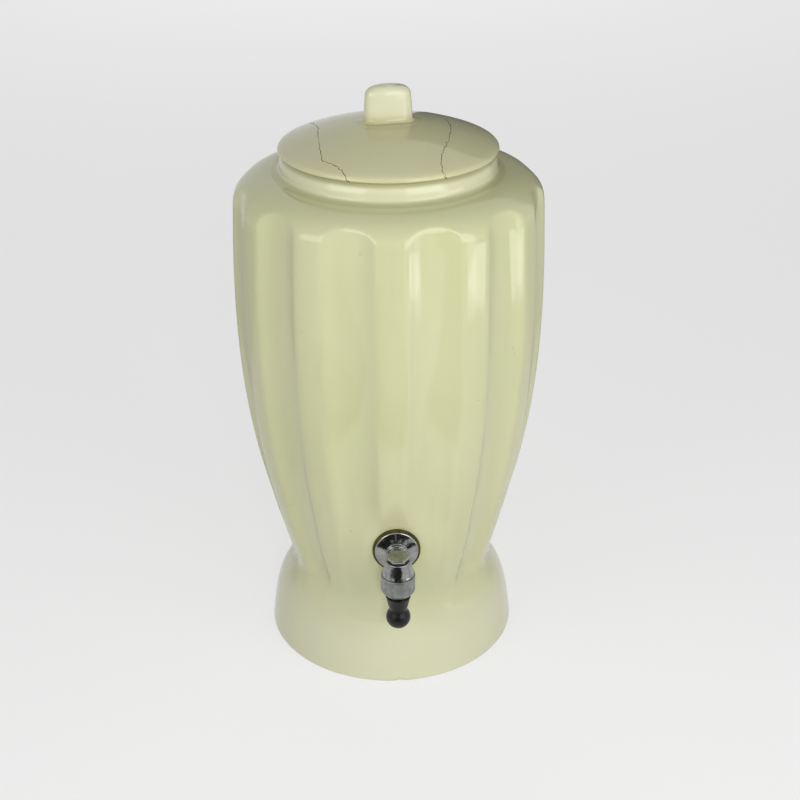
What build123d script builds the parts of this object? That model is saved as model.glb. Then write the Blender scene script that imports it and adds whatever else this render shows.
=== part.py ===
"""Glazed ceramic gravity water filter.

A fluted tank on a flared pedestal, with a hung bowl that holds the filter candle and its float valve,
a lid with a block knob, and a self-closing tilt tap. Millimetres, +Z up, origin at the centre of the
foot ring, tap towards -Y.
"""
import os
from math import cos, radians, sin, sqrt, tan

from build123d import *

# Pedestal
foot_radius = 107.5
foot_width = 9.5
pedestal_mid_radius = 104.5
pedestal_mid_height = 25.0
pedestal_top_radius = 98.6
pedestal_top_rise = 23.0
waist_radius = 86.5
waist_rise = 20.0
waist_overlap = 4.0
foot_edge = 1.5
foot_lean = -0.1
waist_climb = 0.4

# Fluted body, each height counted from the one below
hip_radius = 99.7
hip_rise = 55.0
swell_radius = 117.3
swell_rise = 81.0
belly_radius = 125.5
belly_rise = 141.0
shoulder_radius = 123.3
shoulder_rise = 54.5
neck_foot_radius = 88.5
neck_foot_rise = 24.0
flute_count = 12
flute_depth = 4.0
flute_share = 0.58
flute_fade_rise = 60.0
hip_lean = 0.12
shoulder_lean = -0.1
body_sections = 9
shoulder_sections = 6

# Walls of the vessel
body_wall = 8.0
pedestal_wall = 9.0
floor_rise = 18.0
floor_thickness = 10.0

# Neck and the ledge that carries the bowl
neck_radius = 86.0
neck_rise = 15.9
neck_edge = 1.5
rim_wall = 5.5
flange_thickness = 7.4
flange_width = 6.5
bowl_clearance = 1.0
flange_clearance = 0.5

# Hung bowl
bowl_wall = 6.5
bowl_depth = 199.0
bowl_taper = 5.0
bowl_corner = 14.0
bowl_floor = 8.0

# Lid
lid_radius = 88.0
lid_seat_inset = 0.6
lid_edge_height = 4.5
lid_dome_radius = 82.0
lid_dome_rise = 10.5
lid_crown_rise = 13.0
lid_wall = 7.5
skirt_wall = 5.0
skirt_depth = 8.0
skirt_clearance = 1.5
knob_width = 36.0
knob_depth = 17.0
knob_rise = 28.0
knob_sink = 4.0
knob_corner = 5.0
knob_edge = 4.0
knob_taper = 2.5
lid_turn = 9.0

# Filter candle and its stem
fit = 0.2
stem_radius = 5.5
stem_bore = 2.0
stem_grip = 20.0
candle_gasket_radius = 15.0
candle_gasket_thickness = 2.5
candle_base_radius = 27.0
candle_base_plate = 4.0
candle_base_height = 13.0
candle_cup_wall = 2.5
candle_height = 104.0
candle_wall = 6.0
carbon_gap = 1.5
carbon_height = 78.0
lower_gasket_radius = 12.0
lower_gasket_thickness = 2.5
wing_nut_radius = 9.5
wing_nut_height = 9.0
wing_span = 37.0
wing_thickness = 4.0

# Float valve
valve_gap = 2.5
valve_radius = 9.0
valve_height = 28.0
nozzle_radius = 4.0
nozzle_length = 4.0
pivot_offset = 13.0
pivot_drop = 4.0
ear_radius = 4.5
ear_thickness = 3.0
ear_gap = 0.4
pin_radius = 1.5
pin_clearance = 0.05
pin_overhang = 1.0
arm_width = 7.0
arm_thickness = 5.0
arm_hub_radius = 4.0
arm_length = 46.0
arm_spigot_radius = 2.0
arm_spigot_length = 10.0
float_droop = 20.0
float_radius = 19.0
seal_radius = 4.5
seal_recess = 1.2
seal_gap = 0.3

# Tap: seat in the wall
tap_rise = 67.5
pad_reach = 107.5
pad_radius = 22.0
pad_flare = 25.0
pad_thickness = 13.0
facing_stock = 3.0
spot_margin = 1.5
tap_hole_clearance = 0.6
outer_gasket_radius = 19.7
outer_gasket_thickness = 3.0
inner_gasket_radius = 16.0
inner_gasket_thickness = 2.5
tap_washer_radius = 14.0
tap_washer_thickness = 1.2
lock_nut_flats = 24.0
lock_nut_thickness = 7.0
shank_radius = 8.0
shank_overhang = 2.0
waterway_radius = 4.0

# Tap: flange, barrel and bell
flange_radius = 18.3
tap_flange_thickness = 2.4
tap_flange_edge = 1.0
hub_radius = 8.8
hub_length = 3.0
barrel_radius = 7.2
tap_reach = 22.0
bell_top_rise = 7.6
bell_top_radius = 10.0
bell_bottom_drop = 7.6
bell_bottom_radius = 12.5
chamber_radius = 6.2
seat_drop = 6.0
seat_thickness = 3.0
seat_hole_radius = 3.8
skirt_bore_radius = 8.5
bell_skirt_wall = 2.3
bell_skirt_length = 11.4

# Tap: cap, washer, valve and spring
cap_flats = 16.2
cap_thickness = 3.4
cap_edge = 0.5
cap_washer_thickness = 0.8
cap_plug_length = 4.1
plug_clearance = 0.2
valve_washer_thickness = 1.8
valve_disc_thickness = 1.4
valve_clearance = 0.4
valve_stem_radius = 1.6
valve_guide_length = 3.3
push_pad_radius = 3.2
push_pad_thickness = 1.6
spring_radius = 3.6
spring_wire_radius = 0.4
spring_turns = 4.0
spring_end_gap = 0.1

# Tap: collar, pivot and handle
collar_radius = 13.7
collar_clearance = 0.2
collar_floor_gap = 1.4
collar_floor_thickness = 6.4
collar_bevel_width = 2.9
collar_bevel_height = 3.8
pivot_radius = 8.0
pivot_crown = 1.4
pivot_clearance = 0.3
pivot_neck_radius = 4.2
pivot_groove = 2.2
pivot_groove_count = 4
collar_lip = 1.0
handle_gap = 2.0
handle_top_radius = 10.2
handle_edge = 0.6
handle_neck_radius = 7.2
handle_cone_length = 11.5
handle_ball_radius = 10.0
handle_ball_drop = 18.4
stud_radius = 3.0
stud_length = 12.0

# Heights and places that follow from the sizes above
pedestal_top_z = pedestal_mid_height + pedestal_top_rise
waist_z = pedestal_top_z + waist_rise
hip_z = waist_z + hip_rise
swell_z = hip_z + swell_rise
belly_z = swell_z + belly_rise
shoulder_z = belly_z + shoulder_rise
neck_z = shoulder_z + neck_foot_rise
rim_z = neck_z + neck_rise
floor_z = waist_z + floor_rise
hollow_z = floor_z - floor_thickness
ledge_z = rim_z - flange_thickness
recess_radius = neck_radius - rim_wall
neck_bore = recess_radius - flange_width
bowl_radius = neck_bore - bowl_clearance
bowl_inner_radius = bowl_radius - bowl_wall
bowl_z = rim_z - bowl_depth
bowl_floor_z = bowl_z + bowl_floor
tap_z = waist_z + tap_rise


def write(piece, name):
    """Labels a finished piece and writes it to its own file."""
    piece.label = name
    export_step(piece, f"parts/{name}.step")


def make_ring(plane, outer_radius, bore_radius, thickness):
    """A flat ring that stands on the plane and rises along its normal."""
    with BuildPart() as ring:
        with BuildSketch(plane):
            Circle(outer_radius)
            Circle(bore_radius, mode=Mode.SUBTRACT)
        extrude(amount=thickness)
    return ring.part


def level(z):
    """A level plane about the filter's axis."""
    return Plane.XY.offset(z)


def flute_offset(offset, pitch):
    """Share of the flute's depth at an angle from the flute's middle: 1 in the middle, 0 on the ridge."""
    return max(0.0, 1.0 - (offset / (pitch * flute_share / 2)) ** 2)


def fluted_outline(ridge_radius, wall_radius, depth):
    """Points round one level of the body; the flutes stay in wall_radius where the shoulder draws in."""
    pitch = 360 / flute_count
    edge = pitch * flute_share / 2
    points = []
    for flute in range(flute_count):
        middle = (flute + 0.5) * pitch
        for offset in (-pitch / 2, -edge, -edge / 2, 0, edge / 2, edge):
            reach = min(ridge_radius, wall_radius - depth * flute_offset(offset, pitch))
            angle = radians(middle + offset - 90)
            points.append((reach * cos(angle), reach * sin(angle)))
    return points


os.makedirs("parts", exist_ok=True)

# Line of the ridges, as radius and height
with BuildLine() as ridge_line:
    Spline(
        (waist_radius, waist_z),
        (hip_radius, hip_z),
        (swell_radius, swell_z),
        (belly_radius, belly_z),
        (shoulder_radius, shoulder_z),
        tangents=[(hip_lean, 1), (shoulder_lean, 1)],
    )

# Levels of the fluted body: height, ridge radius, radius that the flutes are cut from, flute depth
levels = [(waist_z - waist_overlap, waist_radius, waist_radius, 0.0)]
for step in range(body_sections):
    place = ridge_line.line @ (step / (body_sections - 1))
    fade = min(1.0, (place.Y - waist_z) / flute_fade_rise)
    levels.append((place.Y, place.X, place.X, flute_depth * fade * fade * (3 - 2 * fade)))
for step in range(1, shoulder_sections + 1):
    turn = radians(90 * step / shoulder_sections)
    ridge = neck_foot_radius + (shoulder_radius - neck_foot_radius) * cos(turn)
    levels.append((shoulder_z + neck_foot_rise * sin(turn), ridge, shoulder_radius, flute_depth))


def front(distance):
    """An upright plane in front of the axis at the tap's height, facing the front."""
    return Plane(origin=(0, -distance, tap_z), x_dir=(1, 0, 0), z_dir=(0, -1, 0))


with BuildPart() as vessel:
    # Fluted wall, solid
    for height, ridge, wall, depth in levels:
        with BuildSketch(level(height)):
            with BuildLine():
                Spline(*fluted_outline(ridge, wall, depth), periodic=True)
            make_face()
    loft()
    # Pedestal
    with BuildSketch(Plane.XZ):
        with BuildLine():
            bell = Spline(
                (foot_radius, 0),
                (pedestal_mid_radius, pedestal_mid_height),
                (pedestal_top_radius, pedestal_top_z),
                (waist_radius - waist_overlap, waist_z),
                tangents=[(foot_lean, 1), (-1, waist_climb)],
            )
            Polyline(bell @ 1, (0, waist_z), (0, 0), bell @ 0)
        make_face()
    revolve(axis=Axis.Z)
    fillet(vessel.edges().group_by(Axis.Z)[0], foot_edge)
    # Neck
    with BuildSketch(level(neck_z - waist_overlap)):
        Circle(neck_radius)
    extrude(amount=neck_rise + waist_overlap)
    fillet(vessel.edges().group_by(Axis.Z)[-1], neck_edge)
    # Tank, neck bore and the ledge for the bowl
    inset = body_wall + flute_depth
    with BuildSketch(Plane.XZ):
        with BuildLine():
            tank = Spline(
                (waist_radius - inset, floor_z),
                (hip_radius - inset, hip_z),
                (swell_radius - inset, swell_z),
                (belly_radius - inset, belly_z),
                (shoulder_radius - inset, shoulder_z),
                tangents=[(hip_lean, 1), (0, 1)],
            )
            EllipticalCenterArc(
                (neck_bore, shoulder_z),
                shoulder_radius - inset - neck_bore,
                neck_foot_rise - body_wall,
                start_angle=0,
                arc_size=90,
            )
            Polyline(
                (neck_bore, neck_z - body_wall),
                (neck_bore, ledge_z),
                (recess_radius, ledge_z),
                (recess_radius, rim_z),
                (0, rim_z),
                (0, floor_z),
                tank @ 0,
            )
        make_face()
    revolve(axis=Axis.Z, mode=Mode.SUBTRACT)
    # Hollow under the floor, open below
    with BuildSketch(Plane.XZ):
        with BuildLine():
            hollow = Spline(
                (foot_radius - foot_width, 0),
                (pedestal_mid_radius - pedestal_wall, pedestal_mid_height),
                (pedestal_top_radius - pedestal_wall, pedestal_top_z),
                (waist_radius - body_wall - waist_overlap, hollow_z),
            )
            Polyline(hollow @ 1, (0, hollow_z), (0, 0), hollow @ 0)
        make_face()
    revolve(axis=Axis.Z, mode=Mode.SUBTRACT)
    # Pad for the tap, cast proud and faced flat outside and inside
    with BuildSketch(front(pad_reach + facing_stock)):
        Circle(pad_radius - facing_stock * tan(radians(pad_flare)))
    extrude(amount=-pad_thickness - facing_stock, taper=-pad_flare)
    with BuildSketch(front(pad_reach - pad_thickness)):
        Circle(inner_gasket_radius + spot_margin)
    extrude(amount=-pad_thickness, mode=Mode.SUBTRACT)
    with BuildSketch(front(pad_reach)):
        Circle(pad_radius + spot_margin)
    extrude(amount=pad_thickness + facing_stock, mode=Mode.SUBTRACT)
    with BuildSketch(front(pad_reach)):
        Circle(shank_radius + tap_hole_clearance)
    extrude(amount=-pad_thickness, mode=Mode.SUBTRACT)

# The casting as three stacked nodes: pedestal with the floor, fluted wall, shoulder with the neck
with BuildPart() as pedestal:
    add(vessel.part)
    split(bisect_by=level(floor_z), keep=Keep.BOTTOM)
write(pedestal.part, "pedestal")

with BuildPart() as tank_wall:
    add(vessel.part)
    split(bisect_by=level(floor_z), keep=Keep.TOP)
    split(bisect_by=level(shoulder_z), keep=Keep.BOTTOM)
write(tank_wall.part, "tank_wall")

with BuildPart() as shoulder:
    add(vessel.part)
    split(bisect_by=level(shoulder_z), keep=Keep.TOP)
write(shoulder.part, "shoulder")

with BuildPart() as inner_bowl:
    with BuildSketch(Plane.XZ):
        with BuildLine():
            Polyline(
                (0, bowl_z),
                (bowl_radius - bowl_taper, bowl_z),
                (bowl_radius, ledge_z),
                (recess_radius - flange_clearance, ledge_z),
                (recess_radius - flange_clearance, rim_z),
                (bowl_inner_radius, rim_z),
                (bowl_inner_radius - bowl_taper, bowl_floor_z),
                (0, bowl_floor_z),
                (0, bowl_z),
            )
        make_face()
    revolve(axis=Axis.Z)
    floor_edges = inner_bowl.edges().filter_by(GeomType.CIRCLE).group_by(Axis.Z)
    fillet(floor_edges[0].sort_by(SortBy.RADIUS)[-1], bowl_corner)
    fillet(floor_edges[1].sort_by(SortBy.RADIUS)[-1], bowl_corner - bowl_wall)
    with BuildSketch(level(bowl_z)):
        Circle(stem_radius + fit)
    extrude(amount=bowl_floor, mode=Mode.SUBTRACT)
write(inner_bowl.part, "inner_bowl")

crown_z = rim_z + lid_dome_rise + lid_crown_rise
skirt_radius = bowl_inner_radius - skirt_clearance

with BuildPart() as lid:
    with BuildSketch(Plane.XZ):
        with BuildLine():
            dome = TangentArc((0, crown_z), (lid_dome_radius, rim_z + lid_dome_rise), tangent=(1, 0))
            edge = TangentArc(dome @ 1, (lid_radius, rim_z + lid_edge_height), tangent=dome % 1)
            Polyline(
                edge @ 1,
                (lid_radius - lid_seat_inset, rim_z),
                (skirt_radius, rim_z),
                (skirt_radius, rim_z - skirt_depth),
                (skirt_radius - skirt_wall, rim_z - skirt_depth),
                (skirt_radius - skirt_wall, rim_z + lid_dome_rise - lid_wall),
            )
            TangentArc(
                (0, crown_z - lid_wall),
                (skirt_radius - skirt_wall, rim_z + lid_dome_rise - lid_wall),
                tangent=(1, 0),
            )
            Line((0, crown_z - lid_wall), (0, crown_z))
        make_face()
    revolve(axis=Axis.Z)
    with BuildSketch(level(crown_z - knob_sink).rotated((0, 0, lid_turn))):
        RectangleRounded(knob_width, knob_depth, knob_corner)
    extrude(amount=knob_rise + knob_sink, taper=knob_taper)
    fillet(lid.faces().sort_by(Axis.Z)[-1].edges(), knob_edge)
write(lid.part, "lid")

# Filter candle on the bowl's floor
base_z = bowl_floor_z + candle_gasket_thickness
plate_z = base_z + candle_base_plate
nut_z = bowl_z - lower_gasket_thickness - wing_nut_height
valve_top_z = nut_z - valve_gap
stem_z = valve_top_z - stem_grip
shell_radius = candle_base_radius - candle_cup_wall - fit

write(
    make_ring(level(bowl_floor_z), candle_gasket_radius, stem_radius + fit, candle_gasket_thickness),
    "candle_gasket",
)

with BuildPart() as candle_base:
    with BuildSketch(level(base_z)):
        Circle(candle_base_radius)
    extrude(amount=candle_base_height)
    with BuildSketch(level(plate_z)):
        Circle(candle_base_radius - candle_cup_wall)
    extrude(amount=candle_base_height - candle_base_plate, mode=Mode.SUBTRACT)
    with BuildSketch(level(stem_z)):
        Circle(stem_radius)
    extrude(amount=base_z - stem_z)
    with BuildSketch(level(stem_z)):
        Circle(stem_bore)
    extrude(amount=plate_z - stem_z, mode=Mode.SUBTRACT)
write(candle_base.part, "candle_base")

with BuildPart() as candle_shell:
    with BuildSketch(Plane.XZ):
        inner = shell_radius - candle_wall
        spring_line = plate_z + candle_height - shell_radius
        with BuildLine():
            Polyline(
                (inner, spring_line),
                (inner, plate_z),
                (shell_radius, plate_z),
                (shell_radius, spring_line),
            )
            CenterArc((0, spring_line), shell_radius, 0, 90)
            Line((0, spring_line + shell_radius), (0, spring_line + inner))
            CenterArc((0, spring_line), inner, 0, 90)
        make_face()
    revolve(axis=Axis.Z)
write(candle_shell.part, "candle_shell")

with BuildPart() as carbon_core:
    with BuildSketch(level(plate_z)):
        Circle(shell_radius - candle_wall - carbon_gap)
    extrude(amount=carbon_height)
write(carbon_core.part, "carbon_core")

lower_gasket_z = bowl_z - lower_gasket_thickness
write(
    make_ring(level(lower_gasket_z), lower_gasket_radius, stem_radius + fit, lower_gasket_thickness),
    "lower_gasket",
)

with BuildPart() as wing_nut:
    with BuildSketch(level(nut_z)):
        Circle(wing_nut_radius)
        SlotOverall(wing_span, wing_thickness)
        Circle(stem_radius + fit, mode=Mode.SUBTRACT)
    extrude(amount=wing_nut_height)
write(wing_nut.part, "wing_nut")

# Float valve on the end of the candle's stem; the arm hangs from its pin
valve_z = valve_top_z - valve_height
nozzle_z = valve_z - nozzle_length
pivot_z = nozzle_z - pivot_drop
ear_inner = arm_width / 2 + ear_gap
arm_plane = Plane(
    origin=(-pivot_offset, 0, pivot_z),
    x_dir=(cos(radians(float_droop)), 0, -sin(radians(float_droop))),
    z_dir=(0, -1, 0),
)
arm_end = Plane(arm_plane.from_local_coords((arm_length, 0, 0)), x_dir=(0, 1, 0), z_dir=arm_plane.x_dir)

with BuildPart() as float_valve:
    with BuildSketch(level(valve_z)):
        Circle(valve_radius)
    extrude(amount=valve_height)
    with BuildSketch(level(nozzle_z)):
        Circle(nozzle_radius)
    extrude(amount=nozzle_length)
    for side in (-1, 1):
        with BuildSketch(Plane.XZ.offset(side * (ear_inner + ear_thickness / 2))):
            with Locations((-pivot_offset, pivot_z)):
                Circle(ear_radius)
            with Locations((-valve_radius / 2, valve_z + ear_radius)):
                Circle(ear_radius)
            make_hull()
            with Locations((-pivot_offset, pivot_z)):
                Circle(pin_radius + pin_clearance, mode=Mode.SUBTRACT)
        extrude(amount=ear_thickness / 2, both=True)
    with BuildSketch(level(stem_z)):
        Circle(stem_radius + fit)
    extrude(amount=valve_top_z - stem_z, mode=Mode.SUBTRACT)
    with BuildSketch(level(nozzle_z)):
        Circle(stem_bore)
    extrude(amount=stem_z - nozzle_z, mode=Mode.SUBTRACT)
write(float_valve.part, "float_valve")

with BuildPart() as float_pin:
    with BuildSketch(Plane.XZ):
        with Locations((-pivot_offset, pivot_z)):
            Circle(pin_radius)
    extrude(amount=ear_inner + ear_thickness + pin_overhang, both=True)
write(float_pin.part, "float_pin")

with BuildPart() as float_arm:
    with BuildSketch(arm_plane):
        Circle(arm_hub_radius)
        with Locations((arm_length / 2, 0)):
            Rectangle(arm_length, arm_thickness)
        Circle(pin_radius + pin_clearance, mode=Mode.SUBTRACT)
    extrude(amount=arm_width / 2, both=True)
    with BuildSketch(arm_end):
        Circle(arm_spigot_radius)
    extrude(amount=arm_spigot_length)
    seat = Plane(
        arm_plane.from_local_coords((pivot_offset, arm_thickness / 2, 0)),
        x_dir=(0, 1, 0),
        z_dir=arm_plane.y_dir,
    )
    with BuildSketch(seat):
        Circle(seal_radius + fit)
    extrude(amount=-seal_recess, mode=Mode.SUBTRACT)
write(float_arm.part, "float_arm")

seal_thickness = pivot_drop - seal_gap - arm_thickness / 2 + seal_recess
with BuildPart() as float_seal:
    with BuildSketch(seat.offset(-seal_recess)):
        Circle(seal_radius)
    extrude(amount=seal_thickness)
write(float_seal.part, "float_seal")

with BuildPart() as float_ball:
    with BuildSketch(arm_plane):
        with BuildLine():
            start = arm_length + fit
            Line((start, 0), (start + 2 * float_radius, 0))
            CenterArc((start + float_radius, 0), float_radius, 0, 180)
        make_face()
    revolve(axis=Axis(arm_plane.origin, arm_plane.x_dir))
    with BuildSketch(arm_end):
        Circle(arm_spigot_radius + fit)
    extrude(amount=arm_spigot_length + fit, mode=Mode.SUBTRACT)
write(float_ball.part, "float_ball")

# Tap: rings and nut on the shank, from the outside in
wall_inside = pad_reach - pad_thickness
flange_back = pad_reach + outer_gasket_thickness
flange_front = flange_back + tap_flange_thickness
tap_axis = flange_front + tap_reach
shank_hole = shank_radius + fit

write(make_ring(front(pad_reach), outer_gasket_radius, shank_hole, outer_gasket_thickness), "outer_gasket")
write(make_ring(front(wall_inside), inner_gasket_radius, shank_hole, -inner_gasket_thickness), "inner_gasket")
washer_place = wall_inside - inner_gasket_thickness
write(make_ring(front(washer_place), tap_washer_radius, shank_hole, -tap_washer_thickness), "tap_washer")
nut_place = washer_place - tap_washer_thickness

with BuildPart() as lock_nut:
    with BuildSketch(front(nut_place)):
        RegularPolygon(lock_nut_flats / 2, 6, major_radius=False)
        Circle(shank_hole, mode=Mode.SUBTRACT)
    extrude(amount=-lock_nut_thickness)
write(lock_nut.part, "lock_nut")


def tap_level(rise):
    """A level plane on the tap's upright axis, by its height over the barrel's axis."""
    return Plane(origin=(0, -tap_axis, tap_z + rise))


def tap_upright():
    """The upright plane through the tap's axis, with its origin on the barrel's axis."""
    return Plane(origin=(0, -tap_axis, tap_z), x_dir=(1, 0, 0), z_dir=(0, -1, 0))


tap_turn = Axis((0, -tap_axis, tap_z), (0, 0, 1))
shank_end = nut_place - lock_nut_thickness - shank_overhang
skirt_end = -bell_bottom_drop - bell_skirt_length

with BuildPart() as tap_body:
    # Shank, flange, hub and barrel
    for start, radius, length in (
        (shank_end, shank_radius, flange_back - shank_end),
        (flange_back, flange_radius, tap_flange_thickness),
        (flange_front, hub_radius, hub_length),
        (flange_front, barrel_radius, tap_reach),
    ):
        with BuildSketch(front(start)):
            Circle(radius)
        extrude(amount=length)
    rim = tap_body.edges().filter_by(GeomType.CIRCLE).filter_by(lambda edge: edge.radius == flange_radius)
    fillet(rim.sort_by(Axis.Y)[0], tap_flange_edge)
    # Bell with its threaded skirt
    with BuildSketch(tap_upright()):
        with BuildLine():
            Polyline(
                (0, bell_top_rise),
                (bell_top_radius, bell_top_rise),
                (bell_bottom_radius, -bell_bottom_drop),
                (skirt_bore_radius + bell_skirt_wall, -bell_bottom_drop),
                (skirt_bore_radius + bell_skirt_wall, skirt_end),
                (0, skirt_end),
                (0, bell_top_rise),
            )
        make_face()
    revolve(axis=tap_turn)
    # Chamber above the seat, hole through the seat, bore below it, and the waterway
    for top, radius, depth in (
        (bell_top_rise, chamber_radius, bell_top_rise + seat_drop),
        (-seat_drop, seat_hole_radius, seat_thickness),
        (-seat_drop - seat_thickness, skirt_bore_radius, -seat_drop - seat_thickness - skirt_end),
    ):
        with BuildSketch(tap_level(top)):
            Circle(radius)
        extrude(amount=-depth, mode=Mode.SUBTRACT)
    with BuildSketch(front(shank_end)):
        Circle(waterway_radius)
    extrude(amount=tap_axis - shank_end, mode=Mode.SUBTRACT)
write(tap_body.part, "tap_body")

write(
    make_ring(tap_level(bell_top_rise), cap_flats / 2, chamber_radius, cap_washer_thickness),
    "cap_washer",
)

cap_base = bell_top_rise + cap_washer_thickness
with BuildPart() as tap_cap:
    with BuildSketch(tap_level(cap_base)):
        RegularPolygon(cap_flats / 2, 6, major_radius=False)
    extrude(amount=cap_thickness)
    chamfer(tap_cap.faces().sort_by(Axis.Z)[-1].edges(), cap_edge)
    with BuildSketch(tap_level(cap_base)):
        Circle(chamber_radius - plug_clearance)
    extrude(amount=-cap_washer_thickness - cap_plug_length)
write(tap_cap.part, "tap_cap")

# Valve on the tap's seat, pushed up by the pivot and down by the spring
disc_base = valve_washer_thickness - seat_drop
disc_top = disc_base + valve_disc_thickness
pivot_rise = skirt_end - collar_floor_gap - pivot_crown
rocker_top = pivot_rise + pivot_crown
plug_end = cap_base - cap_washer_thickness - cap_plug_length

write(
    make_ring(
        tap_level(-seat_drop),
        chamber_radius - valve_clearance,
        valve_stem_radius + fit,
        valve_washer_thickness,
    ),
    "valve_washer",
)

with BuildPart() as valve_stem:
    for base, radius, height in (
        (rocker_top, push_pad_radius, push_pad_thickness),
        (rocker_top, valve_stem_radius, disc_top + valve_guide_length - rocker_top),
        (disc_base, chamber_radius - valve_clearance, valve_disc_thickness),
    ):
        with BuildSketch(tap_level(base)):
            Circle(radius)
        extrude(amount=height)
write(valve_stem.part, "valve_stem")

spring_base = disc_top + spring_end_gap + spring_wire_radius
spring_height = plug_end - spring_end_gap - spring_wire_radius - spring_base
with BuildPart() as valve_spring:
    with BuildLine(tap_level(spring_base)) as coil:
        Helix(spring_height / spring_turns, spring_height, spring_radius)
    with BuildSketch(Plane(coil.line @ 0, z_dir=coil.line % 0)):
        Circle(spring_wire_radius)
    sweep(path=coil.line)
write(valve_spring.part, "valve_spring")

# Collar with the cone that the pivot ball sits in
collar_floor = skirt_end - collar_floor_gap
collar_base = collar_floor - collar_floor_thickness
collar_bore = skirt_bore_radius + bell_skirt_wall + collar_clearance
seat_ball = pivot_radius + pivot_clearance
mouth_top = collar_base + collar_lip
mouth_radius = sqrt(seat_ball**2 - (pivot_rise - mouth_top) ** 2)
with BuildPart() as tap_collar:
    with BuildSketch(tap_upright()):
        with BuildLine():
            Polyline(
                (seat_ball, pivot_rise),
                (seat_ball, collar_floor),
                (collar_bore, collar_floor),
                (collar_bore, -bell_bottom_drop),
                (collar_radius, -bell_bottom_drop),
                (collar_radius, collar_base + collar_bevel_height),
                (collar_radius - collar_bevel_width, collar_base),
                (mouth_radius, collar_base),
                (mouth_radius, mouth_top),
            )
            RadiusArc((mouth_radius, mouth_top), (seat_ball, pivot_rise), -seat_ball)
        make_face()
    revolve(axis=tap_turn)
write(tap_collar.part, "tap_collar")

# Pivot: half ball with grooves for the water, neck and threaded stud
handle_top = collar_base - handle_gap
pivot_foot = sqrt(pivot_radius**2 - (pivot_rise - collar_base) ** 2)
with BuildPart() as pivot_ball:
    with BuildSketch(tap_upright()):
        with BuildLine():
            Polyline(
                (pivot_foot, collar_base),
                (0, collar_base),
                (0, rocker_top),
                (pivot_radius, rocker_top),
                (pivot_radius, pivot_rise),
            )
            RadiusArc((pivot_foot, collar_base), (pivot_radius, pivot_rise), -pivot_radius)
        make_face()
    revolve(axis=tap_turn)
    for top, radius, length in (
        (rocker_top, pivot_neck_radius, rocker_top - handle_top),
        (handle_top, stud_radius, stud_length),
    ):
        with BuildSketch(tap_level(top)):
            Circle(radius)
        extrude(amount=-length)
    with BuildSketch(tap_level(rocker_top)):
        with PolarLocations(pivot_radius, pivot_groove_count):
            Circle(pivot_groove)
    extrude(amount=-pivot_radius - pivot_crown, mode=Mode.SUBTRACT)
write(pivot_ball.part, "pivot_ball")

with BuildPart() as tap_handle:
    ball_z = handle_top - handle_ball_drop
    with BuildSketch(tap_upright()):
        with BuildLine():
            Polyline(
                (0, ball_z),
                (handle_neck_radius, ball_z),
                (handle_neck_radius, handle_top - handle_cone_length),
                (handle_top_radius, handle_top),
                (0, handle_top),
                (0, ball_z),
            )
        make_face()
        with BuildLine():
            CenterArc((0, ball_z), handle_ball_radius, -90, 180)
            Line((0, ball_z - handle_ball_radius), (0, ball_z + handle_ball_radius))
        make_face()
    revolve(axis=tap_turn)
    fillet(tap_handle.edges().group_by(Axis.Z)[-1], handle_edge)
    with BuildSketch(tap_level(handle_top)):
        Circle(stud_radius + fit)
    extrude(amount=-stud_length - fit, mode=Mode.SUBTRACT)
write(tap_handle.part, "tap_handle")
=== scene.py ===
"""Looks of a glazed ceramic gravity water filter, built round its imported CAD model.

Lengths are millimetres, as in the part's source, and become metres when a mesh is written.
The studio's lengths are metres.
"""
import logging
import math
from dataclasses import dataclass, replace
from enum import Enum, IntEnum
from typing import Iterable, Sequence

import bmesh
import bpy
import numpy as np
from mathutils import Matrix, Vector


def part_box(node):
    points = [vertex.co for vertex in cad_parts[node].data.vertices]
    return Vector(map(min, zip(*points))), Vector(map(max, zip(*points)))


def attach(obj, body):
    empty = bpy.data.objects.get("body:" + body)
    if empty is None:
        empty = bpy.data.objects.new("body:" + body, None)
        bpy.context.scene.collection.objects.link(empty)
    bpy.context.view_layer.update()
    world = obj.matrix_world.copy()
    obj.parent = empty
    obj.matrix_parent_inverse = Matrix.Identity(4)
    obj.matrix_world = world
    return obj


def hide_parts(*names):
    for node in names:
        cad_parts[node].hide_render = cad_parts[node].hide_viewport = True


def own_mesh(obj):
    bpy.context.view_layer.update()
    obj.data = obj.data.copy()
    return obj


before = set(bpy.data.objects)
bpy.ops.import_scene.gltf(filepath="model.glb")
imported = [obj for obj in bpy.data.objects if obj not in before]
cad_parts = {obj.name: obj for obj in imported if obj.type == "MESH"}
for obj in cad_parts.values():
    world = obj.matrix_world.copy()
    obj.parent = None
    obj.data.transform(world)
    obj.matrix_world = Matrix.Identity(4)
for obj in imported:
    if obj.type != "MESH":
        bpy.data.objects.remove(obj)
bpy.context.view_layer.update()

log = logging.getLogger("water_filter")

MM = 0.001
QUARTER = math.pi / 2
TONE_SPAN = (0.35, 0.65)
GLOSS_SPAN = (0.3, 0.7)
Colour = tuple[float, float, float]
Corner = tuple[float, ...]
Socket = bpy.types.NodeSocket
Shape = bmesh.types.BMesh
Mesh = bpy.types.Mesh
Thing = bpy.types.Object


class Body(Enum):
    """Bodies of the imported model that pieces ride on."""

    TANK = "tank"
    BOWL = "bowl"
    COVER = "cover"
    FLOAT = "float"
    HANDLE = "handle"


class Slot(Enum):
    """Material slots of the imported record."""

    GLAZE = "glaze"
    BOWL_GLAZE = "bowl_glaze"
    CANDLE = "candle_ceramic"
    CARBON = "carbon"
    WHITE_PLASTIC = "white_plastic"
    FLOAT_PLASTIC = "float_plastic"
    BLACK_RUBBER = "black_rubber"
    OLIVE_RUBBER = "olive_rubber"
    CHROME = "tap_chrome"
    BRASS = "tap_brass"
    SPRING = "spring_steel"
    HANDLE = "handle_black"


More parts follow.
